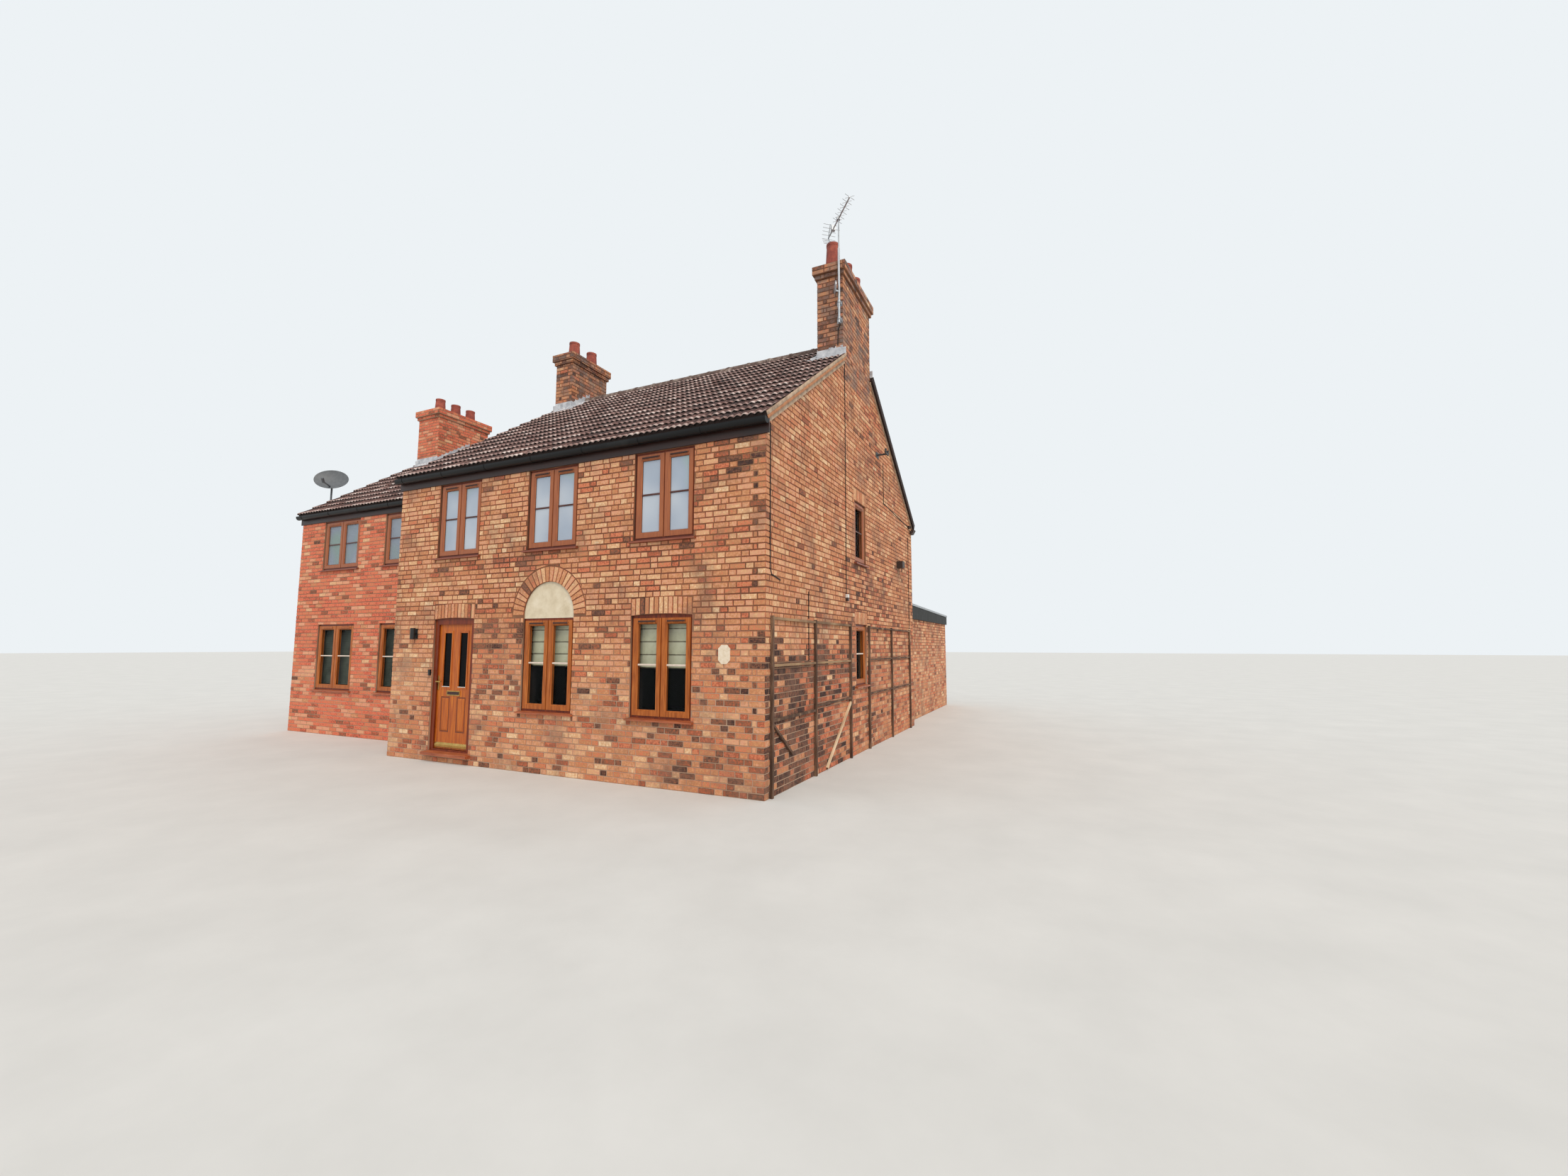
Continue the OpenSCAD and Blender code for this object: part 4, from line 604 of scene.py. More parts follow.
@dataclass
class Masonry:
    """Bricks that stand a few millimetres out of their mortar, joined in one mesh."""

    name: str
    seed: int
    height: float = 64 * MM
    course: float = 76 * MM  # one course with its joint
    joint: float = 12 * MM
    least: float = 16 * MM  # pieces smaller than this are left to the mortar
    stand: float = 5 * MM  # how far a brick stands out, give or take play
    play: float = 1.6 * MM
    tilt: float = 1.2 * MM  # how far a brick may lean out or in
    soft: float = 4 * MM  # width of its softened edge
    sunk: float = 2 * MM  # how far it reaches behind the wall's face
    slip: float = 1 * MM  # how far its corners are out of line, as in hand-made bricks
    vary_mm: float = 3  # how much longer or shorter it may be
    odd_share: float = 0.1  # share of odd lengths in Flemish bond
    odd: tuple[float, ...] = (0.155, STRETCHER, HEADER)  # those lengths
    stub: float = 45 * MM  # what would be shorter at the end of a course joins the last brick
    edge_low: float = 0.12  # how much darker its edges are painted, as shade in the joints, near the ground
    edge_high: float = 0.3  # the same high up
    edge_from: float = 1.2  # height where that begins to grow
    edge_over: float = 1.1  # height over which it grows

    def __post_init__(self) -> None:
        """Starts the random draws and an empty mesh."""
        self.chance = random.Random(SEED * 1000 + self.seed)
        self.rows: dict[tuple[int, bool], list[Brick]] = {}

    def add(self, face: WallFace, outline: Outline, mix: Mix | None = None) -> None:
        """Sets one brick.

        Args:
            face: The wall face that it is part of.
            outline: Its corners on the face, counter-clockwise.
            mix: Its clays, or None for what the face has there.
        """
        if len(outline) < 3 or area_of(outline) < self.least**2:
            return
        u, z = middle_of(outline)
        if mix is None:
            mix = face.mix
            for patch in face.patches:
                if self.chance.random() < patch.share_at(u, z):
                    mix = patch.mix
        stand = self.stand + self.chance.uniform(-1, 1) * self.play
        tone = mix.tone(self.chance)
        tilt = self.chance.uniform(-1, 1) * self.tilt
        # painted shade on the brick's edges in the joints, growing with height
        share = min(1.0, max(0.0, (z - self.edge_from) / self.edge_over))
        edge = tone - face.worn * (self.edge_low + (self.edge_high - self.edge_low) * share)
        brick = Brick(face, outline, stand, tilt, tone, max(0.0, edge))
        self.rows.setdefault((len(outline), face.fine), []).append(brick)

    def lengths(self, face: WallFace, row: int) -> Iterator[tuple[float, float]]:
        """Sets out one course.

        Args:
            face: The wall face.
            row: The course's number from the ground.

        Yields:
            The left and right end of each brick.
        """
        run = face.span.u1 - face.span.u0
        flemish = face.bond is Bond.FLEMISH
        first = [HEADER, HEADER / 2] if flemish else [STRETCHER / 2 - self.joint / 2]
        if not (row + face.turn) % 2:
            first = []
        place, count = 0.0, 0
        while place < run:
            length = first[count] if count < len(first) else face.bond.value[count % 2]
            if flemish and self.chance.random() < self.odd_share:
                length = self.chance.choice(self.odd)
            length += self.chance.uniform(-self.vary_mm, self.vary_mm) * MM
            end = min(run, place + length)
            if run - end < self.stub:
                end = run
            if face.from_right:
                yield face.span.u1 - end, face.span.u1 - place
            else:
                yield face.span.u0 + place, face.span.u0 + end
            place = end + self.joint
            count += 1

    def lay(self, face: WallFace) -> None:
        """Lays all courses of a wall face.

        Args:
            face: The wall face.
        """
        span = face.span
        for row in range(math.floor(span.z0 / self.course), math.ceil(span.z1 / self.course)):
            low = row * self.course + (self.course - self.height) / 2
            low, high = max(low, span.z0), min(low + self.height, span.z1)
            if high - low < self.least:
                continue
            for left, right in self.lengths(face, row):
                pieces = [Rect(left, right, low, high)]
                for hole in face.holes:
                    pieces = [part for piece in pieces for part in piece.minus(hole, self.least)]
                for piece in pieces:
                    self.add(face, self.trimmed(face, piece))

    def trimmed(self, face: WallFace, piece: Rect) -> Outline:
        """Cuts a brick to the face's sloping and round edges.

        Args:
            face: The wall face.
            piece: The brick's rectangle.

        Returns:
            Its outline.
        """
        corners = ((piece.u0, piece.z0), (piece.u1, piece.z0), (piece.u1, piece.z1), (piece.u0, piece.z1))
        slip = self.chance.uniform
        outline = [(u + slip(-1, 1) * self.slip, z + slip(-1, 1) * self.slip) for u, z in corners]
        for line in face.lines:
            outline = cut(outline, line)
        for u, z, radius in face.rings:
            near = math.hypot(min(max(u, piece.u0), piece.u1) - u, max(z, piece.z0) - z)
            if piece.z1 < z or not outline or near >= radius:
                continue
            if math.hypot(max(abs(piece.u0 - u), abs(piece.u1 - u)), piece.z1 - z) < radius:
                return []
            middle = middle_of(outline)
            out_u, out_z = middle[0] - u, max(MM, middle[1] - z)
            far = math.hypot(out_u, out_z)
            a, b = out_u / far, out_z / far
            outline = cut(outline, (-a, -b, -(a * u + b * z + radius)))
        return outline

    def soldiers(self, face: WallFace, arch: Rect, rise: float = 0.0) -> None:
        """Sets a row of bricks on end over an opening.

        Args:
            face: The wall face.
            arch: The row's rectangle, without its rise.
            rise: How far the row rises to its middle.
        """
        width = arch.u1 - arch.u0
        count = round(width / (self.height + self.joint))
        pitch = width / count
        middle = (arch.u0 + arch.u1) / 2
        for i in range(count):
            left = arch.u0 + i * pitch + self.joint / 2
            right = left + pitch - self.joint
            lifts = [rise * (1 - (2 * (u - middle) / width) ** 2) for u in (left, right)]
            outline = [(left, arch.z0 + lifts[0]), (right, arch.z0 + lifts[1]), (right, arch.z1 + lifts[1]),
                       (left, arch.z1 + lifts[0])]
            self.add(face, outline, Mix.ARCH)

    def voussoirs(self, face: WallFace, middle: tuple[float, float], inner: float, outer: float) -> None:
        """Sets a half ring of bricks round an arch.

        Args:
            face: The wall face.
            middle: The ring's middle.
            inner: Its inner radius.
            outer: Its outer radius.
        """
        count = round(math.pi * (inner + outer) / 2 / (self.height + self.joint))
        step = math.pi / count
        for i in range(count):
            edges = [i * step, (i + 1) * step]
            outline = []
            for radius, order in ((inner, (0, 1)), (outer, (1, 0))):
                gap = self.joint / 2 / radius
                for k in order:
                    turn = edges[k] + (gap if k == 0 else -gap)
                    outline.append((middle[0] + radius * math.cos(turn), middle[1] + radius * math.sin(turn)))
            self.add(face, outline[::-1] if area_of(outline) < 0 else outline, Mix.ARCH)

    def build(self) -> Object:
        """Joins the bricks in one mesh.

        Returns:
            The piece.
        """
        places, faces, tones = [], [], []
        start = 0
        for (corners, fine), bricks in sorted(self.rows.items(), key=lambda row: row[0]):
            block, sides = self.solid_rows(corners, fine, bricks)
            offsets = start + np.arange(len(bricks))[:, None] * block.shape[1]
            for number, side in enumerate(sides):
                faces += (offsets + np.array(side)[None, :]).tolist()
                # the front keeps the brick's tone; its sides and rims get the painted shade of the joints
                tones.append(np.array([brick.edge if number else brick.tone for brick in bricks]))
            places.append(block.reshape(-1, 3))
            start += block.shape[0] * block.shape[1]
        return joined_mesh(self.name, np.concatenate(places), faces, np.concatenate(tones))

    def solid_rows(self, corners: int, fine: bool, bricks: list[Brick]) -> tuple[np.ndarray, list[list[int]]]:
        """Works out the corners of all bricks with the same number of sides.

        Args:
            corners: How many corners their outlines have.
            fine: True for softened edges.
            bricks: The bricks.

        Returns:
            The places of each brick's corners, and the faces of one brick.
        """
        flat = np.array([brick.outline for brick in bricks])
        stand = np.array([brick.stand for brick in bricks])[:, None]
        tilt = np.array([brick.tilt for brick in bricks])[:, None] * np.linspace(-1, 1, corners)[None, :]
        edge = np.roll(flat, -1, 1) - flat
        inward = np.stack([-edge[..., 1], edge[..., 0]], -1)
        inward /= np.maximum(1e-6, np.linalg.norm(inward, axis=-1, keepdims=True))
        before = np.roll(inward, 1, 1)
        share = 1 + (inward * before).sum(-1, keepdims=True)
        inset = flat + self.soft * (inward + before) / np.maximum(share, 0.5)
        rings = [(flat, np.full_like(tilt, -self.sunk)), (inset, stand + tilt)]
        if fine:
            rings.insert(1, (flat, stand + tilt - self.soft))
        normal = np.array([tuple(brick.face.normal) for brick in bricks])[:, None, :]
        across = np.array([tuple(brick.face.across) for brick in bricks])[:, None, :]
        plane = np.array([brick.face.place for brick in bricks])[:, None, None]
        up = np.array([0.0, 0.0, 1.0])[None, None, :]
        layers = [
            normal * (plane + out[..., None]) + across * ring[..., :1] + up * ring[..., 1:]
            for ring, out in rings
        ]
        block = np.concatenate(layers, 1)
        sides = [[(len(rings) - 1) * corners + i for i in range(corners)]]
        for low in range(0, (len(rings) - 1) * corners, corners):
            for i in range(corners):
                j = (i + 1) % corners
                sides.append([low + i, low + j, low + corners + j, low + corners + i])
        return block, sides


@dataclass(frozen=True)
class Shell:
    """The house's main planes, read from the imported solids."""

    left: float
    right: float
    front: float
    back: float  # shared with the wing
    wing_left: float
    wing_front: float
    ext_left: float
    ext_right: float
    ext_back: float
    eaves: float  # the lower edge of the fascia boards
    ext_eaves: float
    skin: float = 150 * MM  # how much of a wall's thickness is left to the mortar
    lap: float = 10 * MM  # how far the painted room shade of the wing and the extension reaches into the next wall

    @classmethod
    def read(cls) -> "Shell":
        """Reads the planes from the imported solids.

        Returns:
            The planes.
        """
        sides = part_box("extension_side_walls")
        return cls(
            left=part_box("left_gable_wall")[0].x, right=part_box("right_gable_wall")[1].x,
            front=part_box("front_wall_right")[0].y, back=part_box("back_wall")[1].y,
            wing_left=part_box("wing_end_wall")[0].x, wing_front=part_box("wing_front_wall")[0].y,
            ext_left=sides[0].x, ext_right=sides[1].x, ext_back=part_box("extension_back_wall")[1].y,
            eaves=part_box("fascia_boards")[0].z, ext_eaves=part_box("extension_fascia")[0].z,
        )

    def rooms(self) -> tuple[tuple[float, float, float, float], ...]:
        """Works out the space inside the walls of the main block, the wing and the extension.

        Returns:
            Low x, high x, low y and high y of each.
        """
        skin, lap = self.skin, self.lap
        return (
            (self.left + skin, self.right - skin, self.front + skin, self.back - skin),
            (self.wing_left + skin, self.left + lap, self.wing_front + skin, self.back - skin),
            (self.ext_left + skin, self.ext_right - skin, self.back + lap, self.ext_back - skin),
        )


@dataclass(frozen=True)
class Pitch:
    """One roof slope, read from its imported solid."""

    x0: float  # its left verge
    x1: float  # its right verge
    edge_y: float  # the tiles' lower edge
    ridge_y: float
    ridge_z: float  # height of the upper face at the ridge

    @classmethod
    def read(cls, node: str) -> "Pitch":
        """Reads a slope.

        Args:
            node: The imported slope, whose name ends in back where it falls towards the back.

        Returns:
            The slope.
        """
        low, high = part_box(node)
        # the foot of the lowest course stands out past the slope's own edge
        past = COURSE_FOOT * SIN
        edge, ridge = (high.y - past, low.y) if node.endswith("back") else (low.y + past, high.y)
        return cls(low.x, high.x, edge, ridge, high.z)

    @property
    def away(self) -> float:
        """1 where y grows towards the ridge, or else -1."""
        return 1.0 if self.ridge_y > self.edge_y else -1.0

    def height(self, y: float) -> float:
        """Works out the height of the upper face over y."""
        return self.ridge_z - abs(y - self.ridge_y) * RISE

    def along(self, y: float) -> float:
        """Works out how far up the slope y lies."""
        return self.away * (y - self.edge_y) / COS

    def under_line(self, side: float) -> Triple:
        """Works out the line under the roof that cuts a gable's bricks, as cut() takes it.

        Args:
            side: 1 for a gable that faces right, or else -1.

        Returns:
            The line.
        """
        top = self.ridge_z - ROOF_T - 2 * MM
        return -side * self.away * RISE, 1.0, top - self.away * RISE * self.ridge_y


class Bench:
    """Shapes one primitive by operators, as by hand."""

    def __init__(self, name: str, size: Triple, cuts: tuple[int, int] | None = None) -> None:
        """Adds a block at the origin, or a flat net.

        Args:
            name: The piece's name.
            size: Its size along x, y and z.
            cuts: The net's meshes along x and y, or None for a block.
        """
        self.leave()
        if cuts:
            bpy.ops.mesh.primitive_grid_add(x_subdivisions=cuts[0], y_subdivisions=cuts[1], size=1)
        else:
            bpy.ops.mesh.primitive_cube_add(size=1)
        self.piece = bpy.context.active_object
        self.piece.name = self.piece.data.name = name
        bpy.ops.object.mode_set(mode="EDIT")
        bpy.ops.mesh.select_all(action="SELECT")
        bpy.ops.transform.resize(value=size)
        bpy.ops.object.mode_set(mode="OBJECT")

    @staticmethod
    def leave() -> None:
        """Leaves edit mode and deselects everything."""
        if bpy.context.object and bpy.context.object.mode != "OBJECT":
            bpy.ops.object.mode_set(mode="OBJECT")
        bpy.ops.object.select_all(action="DESELECT")

    def pick(self, test: Callable[[Any], bool], kind: str = "FACE") -> "Bench":
        """Selects faces or corners, and goes to edit mode.

        Args:
            test: Says which polygons or vertices are selected.
            kind: "FACE" or "VERT".

        Returns:
            This bench.
        """
        bpy.ops.object.mode_set(mode="EDIT")
        bpy.ops.mesh.select_mode(type=kind)
        bpy.ops.mesh.select_all(action="DESELECT")
        bpy.ops.object.mode_set(mode="OBJECT")
        mesh = self.piece.data
        for part in mesh.polygons if kind == "FACE" else mesh.vertices:
            part.select = test(part)
        bpy.ops.object.mode_set(mode="EDIT")
        return self

    def front(self, inset: float = 0.0, depth: float = 0.0, scale: tuple | None = None,
              move: tuple | None = None) -> "Bench":
        """Shapes the faces that look to the front.

        Args:
            inset: How far they are inset.
            depth: How far they are pushed out on the way.
            scale: How much they are resized.
            move: Where they are moved.

        Returns:
            This bench.
        """
        self.pick(lambda face: face.normal.y < -0.5)
        if inset:
            bpy.ops.mesh.inset(thickness=inset, depth=depth)
        if scale:
            bpy.ops.transform.resize(value=scale)
        if move:
            bpy.ops.transform.translate(value=move)
        return self

    def ring(self, face: float) -> "Bench":
        """Opens the block from front to back, and leaves a rim.

        Args:
            face: Width of the rim.

        Returns:
            This bench.
        """
        self.pick(lambda side: abs(side.normal.y) > 0.5)
        bpy.ops.mesh.inset(thickness=face, depth=0)
        bpy.ops.mesh.bridge_edge_loops()
        return self

    def roughen(self, length: float, step: float, offset: float, test: Callable[[Any], bool]) -> "Bench":
        """Cuts a board into stretches along y and leaves chosen corners uneven.

        Args:
            length: The board's length.
            step: Length of a stretch.
            offset: How uneven the corners are.
            test: Says which corners.

        Returns:
            This bench.
        """
        bpy.ops.object.mode_set(mode="EDIT")
        for i in range(1, int(length / step)):
            bpy.ops.mesh.select_all(action="SELECT")
            bpy.ops.mesh.bisect(plane_co=(0, i * step - length / 2, 0), plane_no=(0, 1, 0))
        self.pick(test, "VERT")
        bpy.ops.transform.vertex_random(offset=offset, seed=SEED)
        return self

    def modify(self, kind: str, **settings: Any) -> "Bench":
        """Adds a modifier and applies it.

        Args:
            kind: The modifier's type.
            settings: Its properties.

        Returns:
            This bench.
        """
        bpy.ops.object.mode_set(mode="OBJECT")
        modifier = self.piece.modifiers.new(kind.lower(), kind)
        for name, value in settings.items():
            setattr(modifier, name, value)
        bpy.ops.object.modifier_apply(modifier=modifier.name)
        return self

    def bevel(self, width: float, segments: int = 1) -> "Bench":
        """Softens the edges with a modifier and applies it."""
        return self.modify("BEVEL", width=width, segments=segments, limit_method="ANGLE", angle_limit=0.6)

    def smooth(self, degrees: float) -> "Bench":
        """Shades the faces smooth where they meet at less than an angle."""
        bpy.ops.object.shade_smooth_by_angle(angle=math.radians(degrees))
        return self

    def done(self, move: Matrix | None = None) -> Object:
        """Ends the work.

        Args:
            move: Where the piece goes, or None where it stays at the origin.

        Returns:
            The piece.
        """
        bpy.ops.object.mode_set(mode="OBJECT")
        if move:
            self.piece.data.transform(move)
        return self.piece


@dataclass(frozen=True)
class Site:
    """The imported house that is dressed."""

    frame: dict
    shell: Shell
    materials: dict[str, Material]  # by the finish's name

    def solids(self, node: str) -> list[Solid]:
        """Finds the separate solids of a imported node.

        Args:
            node: The node's name.

        Returns:
            The box of each, sorted by its lowest corner.
        """
        mesh = self.frame["nodes"][node].data
        flat = np.empty(len(mesh.vertices) * 3, np.float32)
        mesh.vertices.foreach_get("co", flat)
        places, index = np.unique(flat.reshape(-1, 3), axis=0, return_inverse=True)
        ends = np.empty(len(mesh.edges) * 2, np.int64)
        mesh.edges.foreach_get("vertices", ends)
        ends = index.reshape(-1)[ends].reshape(-1, 2)
        # corners that edges join end up with the least number among them
        label, last = np.arange(len(places)), None
        while last is None or (label != last).any():
            last, label = label, label.copy()
            least = np.minimum(last[ends[:, 0]], last[ends[:, 1]])
            np.minimum.at(label, ends[:, 0], least)
            np.minimum.at(label, ends[:, 1], least)
        found = [places[label == mark] for mark in np.unique(label)]
        boxes = [Solid(Vector(p.min(0).tolist()), Vector(p.max(0).tolist())) for p in found]
        return sorted(boxes, key=lambda box: tuple(round(c, 3) for c in box.low))

    def dress(self) -> None:
        """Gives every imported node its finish."""
        for name, finish in FINISHES.items():
            for node in finish.nodes.split():
                mesh = self.frame["nodes"][node].data
                mesh.materials.clear()
                mesh.materials.append(self.materials[name])

    def fit(self, piece: Object, finish: str, body: str = HOUSE, nodes: tuple[str, ...] = ()) -> Object:
        """Gives a piece its finish and puts it on its body.

        Args:
            piece: The finished piece.
            finish: Its finish.
            body: The body that it rides on.
            nodes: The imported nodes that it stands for.

        Returns:
            The piece.
        """
        piece.data.materials.append(self.materials[finish])
        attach(piece, body)
        if nodes:
            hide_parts(*nodes)
        LOG.info("%s: %d faces on %s", piece.name, len(piece.data.polygons), body)
        return piece

    def repeat(self, model: Object, name: str, moves: list[Matrix], finish: str, body: str = HOUSE,
               nodes: tuple[str, ...] = ()) -> None:
        """Sets copies of a model, joins them in one piece and fits it, and removes the model.

        Args:
            model: What is copied.
            name: The joined piece's name.
            moves: Where each copy goes.
            finish: Its finish.
            body: The body that it rides on.
            nodes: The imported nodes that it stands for.
        """
        Bench.leave()
        made = []
        for move in moves:
            made.append(bpy.data.objects.new(name, model.data.copy()))
            made[-1].data.transform(move)
            bpy.context.scene.collection.objects.link(made[-1])
        bpy.data.objects.remove(model)
        for piece in made:
            piece.select_set(True)
        bpy.context.view_layer.objects.active = made[0]
        if len(made) > 1:
            bpy.ops.object.join()
        made[0].name = made[0].data.name = name
        self.fit(made[0], finish, body, nodes)


@dataclass(frozen=True)
class Stack:
    """The brick faces of one chimney stack."""

    node: str
    mix: Mix
    front: Mix
    finish: str
    # how strong the painted shade on the bricks' edges is
    worn: float = OLD_JOINT_SHADE
    oversail: float = 34 * MM  # how far each of the two courses at the top stands out over the one below
    flaunch: float = 60 * MM  # height of the mortar on top
    inward: float = 2 * oversail  # how far the shaft lies inside the box of the stack
    grow: float = 4 * MM  # how far the bricks reach past a corner

    def hole(self) -> Rect:
        """Works out what the shaft takes up on a gable.

        Returns:
            The rectangle, in y and z.
        """
        low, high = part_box(self.node)
        inward = self.inward - Masonry.joint / 2
        return Rect(low.y + inward, high.y - inward, low.z, FAR)

    def lay(self, work: Masonry) -> None:
        """Lays the shaft and the oversailing courses.

        Args:
            work: The mesh that the bricks go into.
        """
        low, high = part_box(self.node)
        top, course = high.z - self.flaunch, work.course
        bands = ((self.inward, low.z, top - 3 * course), (self.oversail, top - 3 * course, top - 2 * course),
                 (0.0, top - 2 * course, top))
        for inward, z0, z1 in bands:
            x0, x1, y0, y1 = low.x + inward, high.x - inward, low.y + inward, high.y - inward
            sides = (((0, -1), y0, x0, x1), ((1, 0), x1, y0, y1), ((0, 1), y1, x0, x1), ((-1, 0), x0, y0, y1))
            for number, (normal, at, u0, u1) in enumerate(sides):
                span = Rect(u0 - self.grow, u1 + self.grow, z0, z1)
                mix = self.mix if number else self.front
                work.lay(WallFace.facing(normal, at, span, mix, turn=number % 2, fine=True, worn=self.worn))


@dataclass
class Brickwork:
    """All brick faces of the house, with its right, left and wing stack."""

    site: Site
    corner: float = 4 * MM  # how far the bricks of a wall's end reach past its corner
    arch_rise: float = 20 * MM  # how far a flat arch rises to its middle
    arch_gap: float = 4 * MM  # gap under and over its bricks
    arch_side: float = 5 * MM  # gap beside them
    ring_height: float = 0.4  # an arch higher than this is a ring
    head_reach: float = 40 * MM  # how far the soldiers over a gable window reach past it
    head_gap: float = 8 * MM  # gap round them
    over_eaves: float = 0.3  # a window whose top is higher than this over the eaves has no soldiers
    lead_up: float = 20 * MM  # how far the left gable's bricks start over the wing's roof

    OPEN_NODES = (
        "window_frames", "wing_window_frames", "window_sills", "door_frame", "door_sill", "arch_panel",
    )
    # Distance from the left corner, or to the right one where below 0, height, half sizes, share and mix
    FRONT = (
        (2.45, 1.4, 0.42, 0.95, 0.75, Mix.DARK), (4.4, 0.85, 0.35, 0.5, 0.35, Mix.DARK),
        (0.45, 0.5, 0.5, 0.45, 0.4, Mix.DARK), (3.4, 2.1, 0.9, 0.4, 0.2, Mix.DARK),
        (-0.14, 2.0, 0.025, 2.6, 1.0, Mix.CORNER), (-0.3, 4.3, 0.35, 0.3, 0.45, Mix.CORNER),
        (-1.0, 1.1, 0.9, 0.75, 0.45, Mix.DARK), (-0.1, 2.4, 0.12, 2.2, 0.4, Mix.DARK),
        (5.9, 3.6, 0.16, 0.85, 0.35, Mix.DARK), (-0.5, 4.3, 0.6, 0.12, 0.5, Mix.DARK),
        (1.75, 1.2, 0.5, 0.8, 0.6, Mix.DARK), (1.6, 0.35, 1.6, 0.25, 0.4, Mix.DARK),
        (-1.6, 0.45, 1.5, 0.4, 0.3, Mix.DARK), (2.05, 0.5, 0.12, 0.4, 0.7, Mix.PALE),
        (0.75, 0.75, 0.12, 0.5, 0.7, Mix.PALE), (3.3, 0.6, 0.75, 0.2, 0.75, Mix.PALE),
        (4.3, 3.9, 0.5, 0.7, 0.3, Mix.PALE), (4.6, 3.05, 1.6, 0.16, 0.5, Mix.RED),
        (1.6, 3.0, 0.8, 0.16, 0.4, Mix.RED),
    )
    # The same on the right gable, from the front
    GABLE = (
        (4.0, 2.75, 1.2, 0.35, 0.45, Mix.DARK), (2.2, 0.6, 2.3, 0.75, 0.6, Mix.RED),
        (5.6, 1.0, 1.9, 1.0, 0.5, Mix.RED), (5.5, 3.0, 2.0, 0.6, 0.25, Mix.DARK),
        (0.75, 0.75, 0.9, 0.8, 0.9, Mix.CORNER), (2.3, 0.8, 0.8, 0.75, 0.85, Mix.DEEP_RED),
        (4.0, 0.7, 1.0, 0.7, 0.6, Mix.DARK),
    )
    # The red bricks round the service bracket, from its box
    BRACKET = (-0.2, 0.3, 0.4, 0.5, 0.6, Mix.RED)

    def __post_init__(self) -> None:
        """Collects what stands in the walls, the slopes over them and the stacks."""
        self.openings = [solid for node in self.OPEN_NODES for solid in self.site.solids(node)]
        self.main = [Pitch.read("main_roof_front"), Pitch.read("main_roof_back")]
        self.wing = [Pitch.read("wing_roof_front"), Pitch.read("wing_roof_back")]
        self.stacks = (
            Stack("right_chimney", Mix.STACK, Mix.STACK_FRONT, "sooty_brick"),
            Stack("left_chimney", Mix.OLD_STACK, Mix.OLD_STACK, "sooty_brick"),
            Stack("wing_chimney", Mix.WING_STACK, Mix.WING_STACK, "wing_brick", NEW_JOINT_SHADE),
        )

    def face(self, normal: tuple[int, int], place: float, span: Rect, mix: Mix, **rest: Any) -> WallFace:
        """Sets out a wall face and leaves its windows and doors open.

        Args:
            normal: The outward direction along x and y.
            place: The plane's coordinate along that axis.
            span: The rectangle that it fills, in x or y and z.
            mix: Its bricks.
            rest: Its other fields.

        Returns:
            The wall face.
        """
        wall = WallFace.facing(normal, place, span, mix, **rest)
        wall.holes += [hole for hole in map(wall.covers, self.openings) if hole]
        return wall

    def lay_front(self, work: Masonry) -> None:
        """Lays the main front with its soldiers and its ring.

        Args:
            work: The mesh that the bricks go into.
        """
        s = self.site.shell
        span = Rect(s.left - self.corner, s.right + self.corner, 0, s.eaves)
        patches = [Patch((s.left if u > 0 else s.right) + u, *rest) for u, *rest in self.FRONT]
        wall = self.face((0, -1), s.front, span, Mix.FACADE, from_right=True, fine=True, patches=patches)
        for arch in map(wall.covers, self.site.solids("brick_arches")):
            height = arch.z1 - arch.z0
            if height > self.ring_height:
                middle = ((arch.u0 + arch.u1) / 2, arch.z0)
                wall.rings.append((*middle, height + work.joint))
                work.voussoirs(wall, middle, min((arch.u1 - arch.u0) / 2, height) - STRETCHER, height)
            else:
                wall.holes.append(Rect(arch.u0 - self.arch_side, arch.u1 + self.arch_side, arch.z0, arch.z1))
                low, high = arch.z0 + self.arch_gap, arch.z1 - self.arch_rise - self.arch_gap
                work.soldiers(wall, Rect(arch.u0, arch.u1, low, high), self.arch_rise)
        work.lay(wall)

    def lay_gable(self, work: Masonry) -> None:
        """Lays the right gable, with a row of soldiers over each window.

        Args:
            work: The mesh that the bricks go into.
        """
        s = self.site.shell
        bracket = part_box("service_bracket")[0]
        patches = [Patch(s.front + u, *rest) for u, *rest in self.GABLE]
        u, z, *rest = self.BRACKET
        patches.append(Patch(bracket.y + u, bracket.z + z, *rest))
        span = Rect(s.front - self.corner, s.back + self.corner, 0, self.main[0].ridge_z)
        wall = self.face((1, 0), s.right, span, Mix.GABLE, turn=1, fine=True, patches=patches)
        wall.lines += [pitch.under_line(1) for pitch in self.main]
        wall.holes.append(self.stacks[0].hole())
        for hole in map(wall.covers, self.site.solids("window_frames")):
            if hole and hole.z1 <= s.eaves + self.over_eaves:
                left, right = hole.u0 - self.head_reach, hole.u1 + self.head_reach
                row = Rect(left, right, hole.z1 + self.arch_gap, hole.z1 + STRETCHER)
                work.soldiers(wall, row)
                side, gap = self.arch_side, self.head_gap
                wall.holes.append(Rect(row.u0 - side, row.u1 + side, row.z0 - gap, row.z1 + gap))
        work.lay(wall)

    def plain_faces(self) -> dict[str, list[WallFace]]:
        """Sets out the faces that need no arches.

        Returns:
            The wall faces of each piece.
        """
        s, grow, over = self.site.shell, self.corner, self.wing[0]
        # the newer bricks: stretcher bond, and less painted shade in the joints
        new = {"bond": Bond.STRETCHER, "worn": NEW_JOINT_SHADE}
        span = Rect(s.wing_left - grow, s.left, 0, s.eaves)
        front = self.face((0, -1), s.wing_front, span, Mix.WING, fine=True, **new)
        strip = self.face((-1, 0), s.left, Rect(s.front - grow, s.wing_front, 0, s.eaves), Mix.FACADE)
        span = Rect(s.front - grow, s.back, s.eaves, self.main[0].ridge_z)
        upper = self.face((-1, 0), s.left, span, Mix.GABLE)
